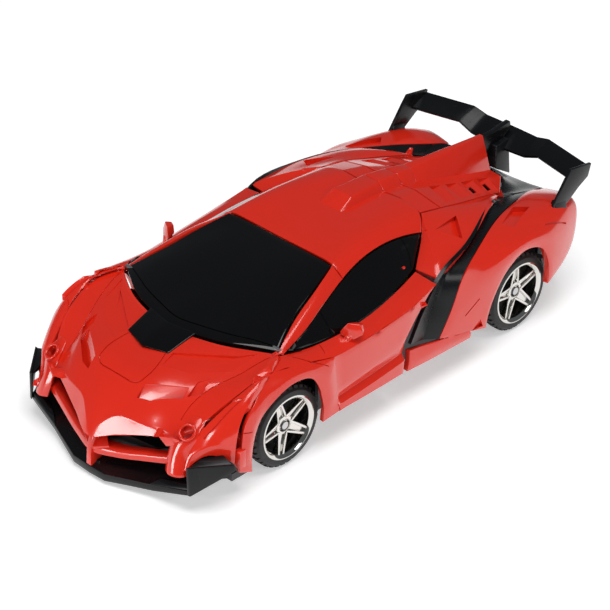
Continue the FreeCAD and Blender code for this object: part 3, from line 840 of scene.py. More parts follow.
@dataclass
class FrontClip:
    """Hood, nose, lamp pods, crossbar and splitter, which fold forward together."""

    body: str = "front_clip"
    hood_wall: float = 3.0
    socket_radius: float = 2.5
    socket_centre: Point = (35.7, -101.4, 28.6)
    socket_axis: Point = (0.2, -0.62, 0.76)

    @property
    def axis(self) -> Vector:
        """The direction that the left lamp socket looks in."""
        return Vector(self.socket_axis).normalized()

    def hood_rows(self) -> list[Row]:
        """Rows from the middle of the hood out to the fender crest, with the nose facet at their front."""
        return [
            [(0, -78.2, 44.5), (0, -88.4, 41.6), (0, -101, 37.2), (0, -108.8, 30.4), (0, -115.4, 20),
             (0, -116.2, 18.4), (0, -116.8, 17)],
            [(11, -75.6, 44.9), (12, -88.6, 41.6), (12, -100.4, 37.1), (10.6, -105.8, 31.8),
             (9.1, -110.2, 27), (9.9, -111.4, 23.6), (10.8, -112.6, 20.2)],
            [(22.6, -72.1, 45), (24, -84, 41), (24, -95.8, 36.3), (22.6, -102.6, 31.2), (20, -107.4, 26.7),
             (20.2, -108.1, 24.8), (20.4, -108.8, 23)],
            [(34.2, -65.9, 44.9), (36.6, -76, 41.3), (31.7, -88.4, 37.3), (30.2, -97, 31.6),
             (31, -103, 26.2), (31.1, -103.6, 25.7), (31.2, -104.2, 25.1)],
            [(40.3, -61.5, 44.2), (44, -71.4, 43.1), (43.4, -82.4, 39.9), (40.8, -91.6, 35.1),
             (37.4, -98.4, 28.6), (36, -99.8, 26.8), (35, -101, 25)]]

    def hood(self) -> bpy.types.Object:
        """The hood and nose in one skin, with its panel line, cowl steps and slots."""
        panel_line = [(9.6, -87, 42), (11.4, -98.2, 38), (10.9, -100, 37.4), (9.2, -101.4, 36.8),
                      (7.2, -101.9, 36.6)]
        loop = [*panel_line, *reversed(flipped(panel_line))]
        fender = [(39.4, -64.6, 44), (36.6, -76, 41.3), (31.7, -88.4, 37.3), (30.2, -94.6, 33.7),
                  (30.2, -99.2, 30)]
        pockets, grooves = [], [Groove(loop, DOWN, width=0.55, depth=0.5, breaks=(4, 5))]
        for mirror in SIDES:
            cowl = [(35.4, -66.8, 44), (30.6, -72, 43.6), (21.6, -78.3, 42.8), (11.6, -85.2, 42.4),
                    (12.6, -91.6, 40.6), (22.6, -87.4, 40.4), (33.4, -77.6, 41.4)]
            slot = [(12.8, -104, 34.6), (17.4, -102.6, 34), (26.9, -95.2, 35.6), (26.4, -91.2, 37.8),
                    (13, -100.2, 37)]
            notch = [(27.8, -93.8, 35.8), (31.4, -89.6, 37.2), (29.8, -84.2, 39.8), (27.2, -88.2, 38.8)]
            pockets.append(Pocket(mirror(cowl), (0.3, 0.9, 0.9, 0.7, 0.02, 0.02, 0.02), DOWN))
            pockets.append(Pocket(mirror(slot), (2.5, 2.6, 2.3, 0.15, 0.1), DOWN))
            pockets.append(Pocket(mirror(notch), (2.2, 1.6, 0.1, 0.4), DOWN))
            grooves.append(Groove(mirror(fender), (-0.3, 0.4, -1), width=0.45, depth=0.35))
        sheet = Patch(both_sides(self.hood_rows()), sharp_rows=(1, 7), sharp_columns=(4,))
        return Panel("hood_skin", [sheet], depth=self.hood_wall, gap=0.25, grooves=tuple(grooves),
                     pockets=tuple(pockets)).build()

    def wedge(self) -> bpy.types.Object:
        """Black wedge in front of the glass, with its raised middle ridge."""
        rows = [[(0, -76.6, 46.3), (0, -83, 45), (0, -89.6, 42.5)],
                [(11.8, -74.2, 46), (11.2, -80, 44.6), (10.6, -86.6, 42.8)]]
        return Panel("cowl_wedge", [Patch(both_sides(rows), sharp_rows=(1,))], depth=1.2, gap=0.05,
                     edge=0.15).build()

    def flank(self) -> bpy.types.Object:
        """Left side of the nose, with the leaf-shaped crease and the hollow over the splitter."""
        crest = [*self.hood_rows()[-1][:4], (38.8, -99, 28.6), (38.2, -104.4, 20.8), (38.6, -107.2, 14.4)]
        seam = [(40.9, -62.8, 44.1), (45.6, -73.7, 43.3), (48.3, -82.1, 38.9), (49.6, -88.8, 32),
                (50, -91, 26), (50, -91.6, 22.4), (49.4, -91.6, 16.2)]
        middle = [(40.6, -62, 44.2), (45.2, -72.7, 43.6), (46.6, -82.2, 40.2), (46.4, -90, 34.6),
                  (45.4, -95.8, 29), (45.4, -98, 25.6), (43.8, -99.2, 21.2)]
        upper = [(38.4, -97.2, 31), (39.4, -91.6, 34.8), (42.2, -87.2, 37.4), (45.6, -84.2, 38.8)]
        lower = [(45.6, -84.2, 38.8), (44, -89, 35.4), (42.4, -95, 30.4), (41, -98.6, 27)]
        return Panel("nose_flank_left", [Patch([crest, middle, seam], sharp_columns=(5,))], gap=0.45,
                     grooves=(Groove(upper, (-0.6, 0.5, -0.6), width=0.6, depth=0.4),
                              Groove(lower, (-0.6, 0.5, -0.6), width=0.6, depth=0.4))).build()

    def pod(self) -> bpy.types.Object:
        """Left lamp pod with its round socket and raised rim."""
        inner = [(33.4, -96.4, 31.8), (31.2, -102.4, 27.4), (30.8, -106, 20.8), (31.4, -108.4, 14.2)]
        face = [(35.6, -95.8, 32.2), (35, -102, 28.6), (33.8, -106.8, 21), (34.2, -109.6, 14)]
        ridge = [(37.6, -95.6, 31.6), (38.6, -100.4, 28), (37.2, -105.4, 20.4), (38.2, -108, 13.8)]
        outer = [(38.4, -95.2, 31), (39.6, -98.8, 27.4), (39.2, -103, 20), (39.8, -105.2, 13.8)]
        shell = Panel("lamp_pod_left", [Patch([inner, face, ridge, outer], steps=7)], depth=2.2,
                      gap=0.0, edge=0.25, smooth_angle=24.0).build()
        bezel = self._ring()
        hole = cylinder("socket", self.socket_centre, self.axis, self.socket_radius, 7.0, bevel=0)
        carve(shell, hole)
        soften(shell)
        return join("lamp_pod_left", [shell, bezel])

    def _ring(self) -> bpy.types.Object:
        """The raised rim round the left lamp socket."""
        deselect()
        bpy.ops.mesh.primitive_torus_add(major_segments=40, minor_segments=12, minor_radius=0.55 * MM,
                                         major_radius=(self.socket_radius + 0.35) * MM)
        ring = bpy.context.object
        turn = Vector((0, 0, 1)).rotation_difference(self.axis).to_matrix().to_4x4()
        ring.data.transform(Matrix.Translation(metres(self.socket_centre) + self.axis * 0.1 * MM) @ turn)
        soften(ring)
        return ring

    def lens(self) -> bpy.types.Object:
        """The bead at the bottom of the left socket."""
        seat = Vector(self.socket_centre) - self.axis * 2.6
        return cylinder("lamp_bead_left", tuple(seat), self.axis, self.socket_radius - 0.15, 1.2, bevel=0.5)

    def crossbar(self) -> bpy.types.Object:
        """Red blade across the nose opening with the upright fin in its middle."""
        front = [(0, -115.4, 9.8), (10, -113, 10.8), (22, -109.2, 13.2), (33, -105.6, 15.6)]
        middle = [(0, -114.4, 12.4), (10, -112, 13.4), (22, -108.4, 15.8), (33, -104.8, 18.2)]
        back = [(0, -109.4, 13), (10, -108, 14), (22, -104.8, 16.4), (33, -101.8, 18.8)]
        rows = [across(row) for row in (front, middle, back)]
        blade = Panel("crossbar_blade", [Patch(rows)], gap=0.0, edge=0.35).build()
        fin_side = [(1.3, -116.8, 4.4), (0.9, -116.4, 12), (1.1, -114.6, 17), (1.6, -108.4, 18),
                    (1.8, -108.4, 4.4)]
        fin = block("fin", fin_side, flipped(fin_side), 0.3)
        brace = block("brace", [(1, -115.6, 12), (7, -112.8, 14), (1.2, -109, 16.4)],
                      [(1, -115.4, 10.6), (7, -112.4, 12.4), (1.2, -109, 11)], 0.25)
        return join("nose_crossbar", [blade, fin, *with_mirrors([brace])])

    def splitter(self) -> bpy.types.Object:
        """Black tray that rises outward, with its keel, canards and tapered side blades."""
        half = [(0, -116.9, 0.8), (8.2, -116.8, 1.2), (26.4, -110.2, 3.2), (42.4, -106.8, 7.2),
                (44.6, -101, 9.4), (42, -93.8, 9)]
        under = across(half)
        over = [(x, y, z + 3.4 - abs(x) * 0.03) for x, y, z in under]
        tray = block("tray", under, over, 0.4)
        keel = four_corners((4.4, -115.6, 4), (3, -104, 5))
        left = [
            block("canard", [(24.6, -110.9, 5.4), (42.4, -106.8, 9.6), (43.6, -102.6, 10),
                             (29.4, -105.6, 6.6)],
                  [(28.4, -108.4, 8.6), (41.2, -105.8, 11.2), (42.2, -103.6, 11.4), (31.4, -106, 9)], 0.35),
            block("blade", [(41.4, -107.6, 7.4), (42.8, -107.4, 7.4), (52.9, -95.2, 17.2),
                            (51.6, -95.2, 17.2)],
                  [(40.8, -107.4, 19.2), (42.2, -107.4, 19.4), (52.9, -95.4, 20.2), (51.6, -95.4, 20.2)],
                  0.35),
            block("shoulder", [(42, -105.6, 17.6), (51.8, -95.4, 18.4), (46.6, -95, 18.4),
                               (42.4, -100.4, 18)],
                  [(41.6, -106.4, 19), (52, -95.4, 19.9), (46.4, -95, 21.6), (42, -101, 20.6)], 0.3),
            block("root", [(42, -101.6, 9), (45.6, -99.6, 12.6), (44, -93.6, 12), (41, -94, 9)],
                  [(45.4, -101, 17.6), (51.8, -95.6, 18.2), (49.8, -93.6, 18), (44.4, -94.6, 18)], 0.3)]
        keel_block = block("keel", keel, [(x * 0.6, y + 1.6, z + 2) for x, y, z in keel], 0.3)
        return join("nose_splitter", [tray, keel_block, *with_mirrors(left)])

    def shade_wall(self) -> bpy.types.Object:
        """Dark inner wall behind the nose opening and the pods; its black is painted shade that stands in
        for the shade inside the nose.
        """
        wall = block("nose_shade_wall", four_corners((37, -99.6, 8), (40, -91, 8)),
                     four_corners((31, -97, 31), (35, -91, 32)), 0.6)
        cheek = block("cheek", [(36, -103, 9), (44, -97.6, 10.4), (48, -92.6, 10.4), (36, -92.6, 9)],
                      [(36.4, -101, 20), (43.4, -96.6, 21.6), (47.6, -92.6, 21), (37, -92.6, 26)], 0.5)
        return join("nose_shade_wall", [wall, *with_mirrors([cheek])])

    def build(self) -> None:
        """Builds and fits every piece of the front clip."""
        fit(self.hood(), self.body, "red_shell", ("hood",))
        fit(self.wedge(), self.body, "dark_window", ("hood_insert",))
        both = (self.body, self.body)
        fit_pair(self.flank(), both, "red_shell", "bumper")
        fit_pair(self.pod(), both, "red_shell")
        bead = self.lens()
        fit(copy_of(bead, "lamp_bead_right", MIRROR), self.body, "lamp_lens")
        fit(bead, self.body, "lamp_lens", ("lamp_lenses",))
        fit(self.crossbar(), self.body, "red_shell", ("crossbar",))
        fit(self.splitter(), self.body, "black_trim", ("splitter",))
        # black wall whose colour is painted shade: it stands in for the shade inside the nose opening
        fit(self.shade_wall(), self.body, "black_trim")


# cabin


@dataclass
class Cabin:
    """Roof, glass, engine cover and the panels behind the doors."""

    body: str = "body"
    louvre_count: int = 4
    fender_seam: tuple[Point, ...] = (
        (50.2, 12.4, 20.4), (50.2, 18.4, 29.6), (49.6, 25.6, 42), (46, 37, 46.6), (38, 57, 48),
        (32, 74, 45.6), (26, 92, 41.4))

    def windscreen(self) -> bpy.types.Object:
        """Dark windscreen, strongly curved at its base, with a step along its lower edge."""
        rows = [
            [(0, -77.5, 44.9), (0, -64, 48.9), (0, -50, 52.2), (0, -35, 55.2), (0, -20.4, 57)],
            [(11, -74.9, 45.3), (10.6, -62, 49), (10.2, -49.6, 52.2), (9.4, -35, 55.2), (8.6, -20.4, 57.1)],
            [(22.4, -71.4, 45.5), (21.6, -59, 49.2), (20.4, -48, 52), (18.6, -34.6, 54.9),
             (16.6, -20.4, 57.1)],
            [(33.6, -65.2, 45.4), (30.6, -56, 48.7), (28.2, -46.6, 51.2), (25.4, -34, 54.2),
             (22.6, -20.5, 57)],
            [(39.9, -60.9, 44.8), (36.4, -53.4, 47.7), (33.5, -45.6, 50.1), (30.3, -33.6, 53.6),
             (26.6, -20.8, 56.8)]]
        step = [(37, -60.6, 46), (31.4, -63.2, 46.4), (21.6, -67.4, 46.9), (10.6, -70.4, 47),
                (0, -72.4, 46.7)]
        line = step + flipped(step[::-1])[1:]
        return Panel("windscreen_glass", [Patch(both_sides(rows))], depth=1.4, gap=0.25,
                     grooves=(Groove(line, DOWN, depth=0.4),)).build()

    def roof(self) -> bpy.types.Object:
        """Roof skin with both windscreen pillars and its long creases."""
        rows = [
            [(0, -20, 57.2), (0, -8, 58.5), (0, 3, 59.1), (0, 14, 59.3), (0, 28.2, 58.9)],
            [(22, -20, 57.4), (20.2, -8, 58.9), (18, 3, 59.7), (16, 14, 60), (14, 28.2, 59.6)],
            [(26.6, -20.2, 56.9), (25.6, -8, 58.2), (24.8, 3, 58.8), (24.4, 14, 58.6), (24.6, 28.2, 57.4)],
            [(31.5, -20, 53), (29.6, -8, 55.4), (28.9, 3, 56.1), (29, 14, 55.1), (30.3, 23.4, 53.4)]]
        inner = [(40, -61.4, 44.7), (34.6, -47.4, 49.8), (31, -34, 53.7), (26.6, -20.2, 56.9)]
        outer = [(41.6, -60.6, 43.8), (38.9, -46, 46.9), (35.6, -34, 50.1), (31.5, -20, 53)]
        ridge = between(inner, outer, 0.45, (0.6, -0.3, 0.6))
        pillar = [inner, ridge, outer]
        skin = Panel("roof_skin", [Patch(both_sides(rows), sharp_rows=(2, 4), steps=7), Patch(pillar),
                                   Patch([flipped(row) for row in pillar])], gap=0.15,
                     smooth_angle=24.0).build()
        return join("roof_skin", [skin, self.scoop("scoop_front", 5.6, 28.1)])

    def scoop(self, name: str, start: float, end: float) -> bpy.types.Object:
        """One stretch of the raised intake along the middle of the roof.

        Args:
            name: the new piece's name.
            start: where it starts along the car.
            end: where it ends.

        Returns:
            The stretch.
        """
        stations = ((5.6, 6.6, 57.6, 5.6, 59.2), (12.5, 7.4, 57.2, 4.6, 62.6), (28.1, 7.8, 56.8, 3.8, 62.4),
                    (39.0, 8.0, 55.0, 3.0, 61.0), (48.0, 7.8, 52.6, 2.2, 59.6))
        piece = tube(name, [[metres(p) for p in four_corners((wide, y, low), (narrow, y, high))]
                            for y, wide, low, narrow, high in stations if start <= y <= end])
        round_edges(piece, 0.45, 20, 3)
        soften(piece)
        return piece

    def roof_strip(self) -> bpy.types.Object:
        """Narrow cross panel behind the roof with its stretch of the intake."""
        rows = [[(0, 28.6, 58.9), (0, 38.8, 57.3)], [(14, 28.6, 59.6), (12.6, 38.8, 58)],
                [(24.6, 28.6, 57.4), (25, 39.6, 55)]]
        skin = Panel("roof_cross_panel", [Patch(both_sides(rows), sharp_rows=(1, 3))], gap=0.15,
                     smooth_angle=18.0).build()
        return join("roof_cross_panel", [skin, self.scoop("scoop_middle", 28.1, 39.0)])

    def engine_cover(self) -> bpy.types.Object:
        """Cover behind the roof with louvres on both sides and the fin that rises to the wing."""
        rows = [
            [(0, 39.2, 57.2), (0, 54, 53.6), (0, 70, 49), (0, 91.6, 42.2)],
            [(12.6, 39.2, 57.9), (10.8, 54, 53.2), (9.6, 69, 48.8), (11.6, 90.4, 42.4)],
            [(25, 40, 54.9), (24.2, 52, 51.6), (22.4, 66, 47.6), (20, 80.2, 42.6)]]
        pockets = []
        for k in range(self.louvre_count):
            start = 45.4 + 9.4 * k
            inside, outside = 11.4 - 0.1 * k, 22.4 - 1.0 * k
            outline = [(inside, start + 2.6, 50), (outside, start, 50), (outside - 0.6, start + 7.2, 50),
                       (inside, start + 9.4, 50)]
            for mirror in SIDES:
                pockets.append(Pocket(mirror(outline), (2.0, 1.8, 0.05, 0.05), DOWN))
        for y, x in ((68.2, 15.6), (77.6, 14.8)):
            for side in (-1, 1):
                hole = [(side * (x + dx), y + dy, 48) for dx, dy in ((-2.0, -0.9), (2.2, -2.0), (2.2, 0.4),
                                                                     (-2.0, 1.4))]
                pockets.append(Pocket(hole, (3.0, 3.0, 3.0, 3.0), DOWN))
        skin = Panel("engine_cover_skin", [Patch(both_sides(rows), sharp_rows=(1, 3))], gap=0.15,
                     pockets=tuple(pockets), smooth_angle=18.0).build()
        fin = block("fin", four_corners((7.6, 47.2, 53.8), (5.6, 91, 42.4)),
                    four_corners((2.0, 46, 59.6), (0.9, 91, 56.2)), 0.4, 3)
        return join("engine_cover_skin", [skin, self.scoop("scoop_rear", 39.0, 48.0), fin])

    def side_window(self) -> bpy.types.Object:
        """Arched left side window with its two divider lines."""
        top = [(40.9, -58, 43.7), (38.5, -45.8, 46.9), (35.4, -33.8, 50), (31.5, -20, 52.8),
               (29.5, -6, 55.3), (28.9, 8, 55.5), (30.3, 23.2, 53.2)]
        low = [(41, -58, 43.4), (42.8, -47, 42.3), (43.8, -36, 42.2), (44, -22, 42.8), (43.2, -10, 44),
               (41.2, 1, 45.6), (38.8, 10, 46.8)]
        front_line = [(36.4, -37, 49.6), (40, -37.6, 46), (43.2, -38, 42.6)]
        rear_line = [(29.8, 13, 54.8), (33.6, 12, 51), (38.4, 9, 47.2)]
        return Panel("side_glass_left", [Patch([low, between(low, top, 0.5, (0.9, 0, 0.4)), top])],
                     depth=1.4, gap=0.3, grooves=(Groove(front_line, (-1, 0, -1), 0.35, 0.3),
                                                  Groove(rear_line, (-1, 0, -1), 0.35, 0.3))
                     ).build()

    def sail(self) -> bpy.types.Object:
        """Left red panel behind the window, with its three-cornered intake."""
        top = [(30.5, 23.6, 53.4), (25, 28.6, 57.2), (25.2, 40, 54.9), (24.4, 52, 51.6), (22.6, 66, 47.6),
               (21.2, 75, 44.6)]
        low = [(39.2, 10.4, 46.8), (49.2, 12.4, 46), (45, 33, 49.6), (34, 57, 50.2), (27.6, 68.4, 46.8),
               (22.6, 76, 44.2)]
        middle = between(low, top, 0.5, (0.5, 0, 0.9))
        intake = Pocket([(33.4, 27.6, 54), (31.4, 41, 53.4), (41.4, 33.6, 50.6)], (0.1, 2.0, 2.4),
                        (-0.35, 0, -1))
        return Panel("sail_skin_left", [Patch([low, middle, top], sharp_columns=(1,))], depth=2.6,
                     pockets=(intake,)).build()

    def strip(self) -> bpy.types.Object:
        """Left black channel that runs from the sill up to the tail."""
        front = [(49.6, -2.6, 24.6), (50.2, 5.4, 39.4), (49.4, 12.2, 46), (45, 33, 49.8), (34, 57, 50.2),
                 (27.6, 68.4, 46.8), (20.4, 80, 42.8)]
        rear = [*self.fender_seam]
        middle = [(48.2, 5.6, 22.2), *between(front, rear, 0.55, (-3.4, 0, -1.0))[1:-1], (23.2, 86, 41)]
        return Panel("intake_channel_left", [Patch([front, middle, rear], sharp_rows=(1,))], depth=1.4,
                     gap=0.15, smooth_angle=20.0).build()

    def quarter(self) -> bpy.types.Object:
        """Left rear fender with its arch, corner, scoop recess and rocker."""
        inner = [*self.fender_seam, (25.4, 101.4, 38)]
        crest = [(50.5, 15, 19.6), (50.7, 22, 29.5), (50.4, 29, 38.4), (48.2, 42, 44), (45, 60, 45.6),
                 (43.9, 78, 44.6), (43, 92, 41.6), (41, 100.8, 38.2)]
        shoulder = [(50.6, 20, 18.4), (51, 28, 27), (51.2, 35, 34.6), (51.3, 46, 40.2), (51.2, 61, 42.2),
                    (50.4, 75, 38.8), (48, 86.6, 34), (44.4, 97.4, 28.8)]
        arch = [(50.4, 39, 12.9), (50.8, 39.4, 18), (50.8, 43, 26), (50.8, 49.6, 34), (50.8, 59.6, 38.4),
                (50.8, 69.6, 34.8), (50.8, 73.8, 26.6), (50.4, 74.6, 16.5)]
        rocker_top = [(49.8, -3.4, 22.6), (50.2, 12, 20.2), (50.5, 15, 19.6), (50.6, 20, 18.4),
                      (50.6, 29, 17)]
        rocker_middle = [(50.2, -4, 18), (50.9, 8, 16.8), (50.9, 14, 16.6), (50.9, 20, 16.2),
                         (50.9, 30, 15)]
        rocker_low = [(50, -4.8, 13.8), (50.2, 8, 13.2), (50.2, 14, 13), (50.2, 20, 12.8), (50.4, 30, 12.7)]
        scoop = Pocket([(41, 56.8, 47), (34.8, 70.4, 46), (38.8, 75.4, 45), (44.2, 60.2, 45.8)], (0.1, 2.2,
                                                                                                  2.2, 0.3),
                       DOWN)
        slot = [(50.9, 26, 24.6), (51, 33.6, 29)]
        curve = [(47.4, 74, 42), (47.2, 82, 39.4), (46.2, 88, 36)]
        corner = Pocket([(50.7, 30.5, 15.4), (50.7, 36.8, 15), (50.7, 35, 19)], (1.2, 1.2, 0.1), INWARD)
        return Panel("rear_fender_left", [Patch([inner, crest, shoulder, arch]),
                                          Patch([rocker_top, rocker_middle, rocker_low])], depth=2.4,
                     grooves=(Groove(slot, INWARD, 0.8, 0.7), Groove(curve, (-0.7, 0, -0.7), 0.8, 0.6)),
                     pockets=(scoop, corner)).build()

    def build(self) -> None:
        """Builds and fits every piece of the cabin."""
        fit(self.windscreen(), self.body, "dark_window", ("windscreen",))
        fit(self.roof(), self.body, "red_shell", ("roof_shell",))
        fit(self.roof_strip(), self.body, "red_shell", ("roof_strip",))
        fit(self.engine_cover(), self.body, "red_shell", ("engine_cover",))
        both = (self.body, self.body)
        fit_pair(self.side_window(), both, "dark_window", "side_window")
        fit_pair(self.sail(), both, "red_shell", "sail_panel")
        fit_pair(self.strip(), both, "black_trim", "intake_strip")
        fit_pair(self.quarter(), both, "red_shell", "rear_quarter")
        pin = cylinder("window_pin_left", (37.6, 5.4, 48.9), (0.75, 0, 0.66), 0.55, 2.0, 0.15, 16)
        fit_pair(pin, both, "red_shell")


# tail


@dataclass
class Tail:
    """Black deck, tail and the kinked wing."""

    body: str = "body"

    def wing(self) -> bpy.types.Object:
        """Kinked wing blade with its two end plates."""
        lead = [(0, 100, 47.8), (13.6, 100.4, 48.2), (20.4, 100.6, 50.6), (42, 96.4, 50.2)]
        middle = [(0, 105, 50.6), (13.4, 105, 50.8), (20, 104.8, 53), (42, 100.8, 52.4)]
        tail = [(0, 109.8, 53), (13, 109.6, 53), (19.4, 109, 54.8), (42, 105.2, 54)]
        rows = [across(row) for row in (lead, middle, tail)]
        blade = Panel("wing_skin", [Patch(rows, sharp_columns=(1, 2, 4, 5))], depth=1.5, gap=0.0, edge=0.4,
                      smooth_angle=20.0).build()
        outline = [(42, 83.8, 43.6), (42, 92.4, 42.2), (42, 99, 46.6), (42, 104.6, 49.4), (42, 106.2, 54.6),
                   (42, 94, 56.6), (42, 91, 53)]
        end_plate = plate("end_plate", outline, (1.4, 0, 0), 0.35)
        foot = block("foot", [(40.4, 85, 42.4), (44, 85, 42), (44, 92, 40.4), (40.4, 92, 40.4)],
                     [(41.4, 85.4, 46), (43.2, 85.4, 46), (43.2, 91.6, 45), (41.4, 91.6, 45)], 0.3)
        return join("wing_skin", [blade, *with_mirrors([end_plate, foot])])

    def support(self) -> bpy.types.Object:
        """Centre plate under the wing with its top fin and the two-sided post."""
        outline = [(1.2, 91, 43), (1.2, 90.8, 55.4), (1.2, 97, 55.2), (1.2, 107, 56.4), (1.2, 107.4, 54),
                   (1.2, 101, 48.4), (1.2, 103.4, 36), (1.2, 95, 40.6)]
        post = block("post", four_corners((6.4, 93, 42.4), (5, 103.6, 35.6)),
                     four_corners((3.4, 96.4, 50), (3.4, 104, 50.6)), 0.4)
        return join("wing_post", [plate("centre_plate", outline, (-2.4, 0, 0), 0.3), post])

    def deck(self) -> bpy.types.Object:
        """Black deck between the engine cover and the rear fenders."""
        rows = [
            [(0, 92, 41.6), (0, 98, 38.4), (0, 106, 32.6)], [(11.6, 90.8, 42), (13, 97, 37.2),
                                                             (13.6, 104.4, 34.4)],
            [(20, 80.8, 42.2), (22.4, 91.4, 39.6), (22, 102, 37)], [(26, 92.4, 41.2), (25.6, 97, 40),
                                                                    (25, 101.2, 37.8)]]
        return Panel("deck_skin", [Patch(both_sides(rows))], gap=0.15).build()

    def tail(self) -> bpy.types.Object:
        """Upright black tail with two lamp recesses, slats and the diffuser fins."""
        upper = block("tail", [(-38.6, 98, 13.4), (38.6, 98, 13.4), (38.6, 101.2, 13.4), (20, 104, 13.4),
                               (-20, 104, 13.4), (-38.6, 101.2, 13.4)],
                      [(-36, 98, 30.6), (36, 98, 30.6), (36, 100, 30.6), (20, 102.6, 31), (-20, 102.6, 31),
                       (-36, 100, 30.6)], 0.5)
        pieces = [upper]
        pieces += [plate("slat", four_corners((17, 102.4, z), (17, 104.8, z - 0.4)), (0, 0, 1.1), 0.2)
                   for z in (17, 20, 23, 26)]
        pieces += [plate("fin", [(x, 92, 14), (x, 104.6, 10.4), (x, 104.6, 14.4), (x, 92, 18)], (1.5, 0, 0),
                         0.25)
                   for x in (-30.8, -15.8, -0.8, 14.2, 29.2)]
        for side in (-1, 1):
            lamp = [(side * x, y, z) for x, y, z in ((22, 103.2, 22), (35, 101, 24), (35, 101, 27),
                                                     (24, 103, 27.4))]
            pieces.append(plate("lamp", lamp, (0, 1.0, 0), 0.3))
        return join("tail_skin", pieces)

    def build(self) -> None:
        """Builds and fits every piece of the tail."""
        fit(self.wing(), self.body, "black_trim", ("rear_wing",))
        fit(self.support(), self.body, "black_trim", ("wing_support",))
        fit(self.deck(), self.body, "black_trim", ("rear_deck",))
        fit(self.tail(), self.body, "black_trim", ("tail_panel",))


# door arms


@dataclass
class DoorArms:
    """Front fender, door and skirt in one moulding on each side, which swing out as arms."""

    bodies: tuple[str, str] = ("arm_left", "arm_right")

    def shell(self) -> bpy.types.Object:
        """Left fender and door skin with its panel lines."""
        belt = [(41, -61.8, 44), (41.8, -57, 43.3), (42.7, -49, 42.2), (43.8, -38, 42), (44.2, -22, 42.7),
                (42.8, -6, 44.6), (39.6, 10, 46.5)]
        shoulder = [(46, -72.6, 43.2), (47.2, -62.6, 42.6), (48.4, -54, 41), (50.2, -43, 39),
                    (51.2, -22, 40.2), (51.2, -4, 42), (49.6, 10.6, 45.2)]
        bend = between(belt, shoulder, 0.55, (0.3, 0, 0.5))
        behind_arch, skirt_front = (49.6, -40.6, 22), (50, -40, 14)
        outer = [(49.4, -90, 12), (50.2, -89.8, 22), (50, -87.6, 31.6), (48.8, -81, 38.6), *shoulder[:4],
                 behind_arch, skirt_front]
        inner = [(49.8, -83.8, 9.5), (50.2, -83.8, 20), (50.3, -82.4, 25.6), (50.2, -80, 30),
                 (50.3, -73.4, 34.6), (50.3, -62.6, 37.4), (50.3, -55.2, 35.4), (50.3, -50.6, 28),
                 (50, -48.6, 20), (49.6, -48.6, 12.8)]
        band = between(outer, inner, 0.5, (0.9, 0, 0.5))
        crease = [behind_arch, (49.7, -24, 24.4), (49.8, -5.6, 28), (50.2, 3.4, 40.4)]
        recess = [(48.6, -42, 19.2), (48.6, -23, 20.6), (48.8, -6, 22.6)]
        lip = [(50.2, -41, 17), (50.6, -22, 18.6), (50.4, -6.4, 20)]
        sill = [skirt_front, (50.4, -22, 14.2), (50, -6.4, 14)]
        patches = [Patch([belt, bend, shoulder]), Patch([outer, band, inner], sharp_columns=(7, 8)),
                   Patch([shoulder[3:], crease], sharp_columns=(2,)),
                   Patch([crease[:3], recess, lip, sill], sharp_rows=(1, 2))]
        panel_lines = (
            Groove([(50.4, -46.6, 36.6), (48.6, -53.4, 41), (44, -58.6, 43.4)], (-0.7, 0, -0.7), 0.45, 0.4,
                   (1,)),
            Groove([(47.6, -46, 40.2), (44, -44.6, 42)], (-0.5, 0, -0.8), 0.45, 0.4),
            Groove([(50.4, -88.6, 28.8), (50.4, -84.8, 28)], INWARD, 0.5, 0.5))
        return Panel("door_arm_left", patches, depth=1.8, gap=0.25, edge=0.3, grooves=panel_lines,
                     smooth_angle=26.0).build()

    def carrier(self) -> bpy.types.Object:
        """Left inner bar that joins the shell to its hinge and to the wheel."""
        front = box("front_bar", (29, -88, 15.2), (48, -84.9, 24.8), 0.4)
        inner = box("inner_bar", (28.6, -87.8, 12.2), (31.2, -56, 21.8), 0.4)
        barrel = cylinder("barrel", (42.6, -86.4, 18), (0, 0, 1), 2.2, 7, 0.4)
        return join("arm_carrier_left", [front, inner, barrel])

    def tab(self) -> bpy.types.Object:
        """Left small block at the foot of the fender strip."""
        return box("fender_tab_left", (48.4, -91.3, 15.2), (51.2, -88.2, 22.4), 0.4)

    def mirror(self) -> bpy.types.Object:
        """Left wedge-shaped door mirror on its stalk."""
        face = [(44.6, -35.4, 43.4), (47, -33.6, 47.4), (51, -31, 47.2), (52.4, -31, 43.6),
                (50, -33.4, 41.4), (46, -35.2, 42)]
        back = [(48.6 + (x - 48.6) * 0.6, -29.4 + (y + 33.2) * 0.5, 44.4 + (z - 44.2) * 0.62) for x, y,
                z in face]
        head = block("mirror_head", face, back, 0.5, 3)
        stalk = block("stalk", [(45.8, -35.4, 40.2), (48.2, -35.4, 39.4), (48.4, -30.8, 39.6),
                                (45.9, -30.6, 40.6)],
                      [(47, -34.4, 43), (49.4, -33.8, 42.6), (49.6, -31, 43), (47.2, -31, 43.2)], 0.4)
        return join("door_mirror_shell_left", [head, stalk])

    def hand(self) -> bpy.types.Object:
        """Left robot fist folded behind the door."""
        palm = box("palm", (39.8, -34, 20.2), (46.2, -24, 30.8), 0.7)
        forearm = box("forearm", (40.8, -42, 19.2), (48.2, -34.2, 31.8), 0.8)
        fingers = [box("finger", (38.8, -23.8, z), (45, -17.2, z + 2.1), 0.5) for z in (20.3, 23.1, 25.9,
                                                                                        28.7)]
        return join("robot_fist_left", [palm, forearm, *fingers])

    def build(self) -> None:
        """Builds and fits both arms."""
        fit_pair(self.shell(), self.bodies, "red_shell", "front_fender_door")
        fit_pair(self.carrier(), self.bodies, "red_shell")
        fit_pair(self.tab(), self.bodies, "red_shell")
        fit_pair(self.mirror(), self.bodies, "red_shell", "door_mirror")
        fit_pair(self.hand(), self.bodies, "robot_grey", "fist")


# robot head


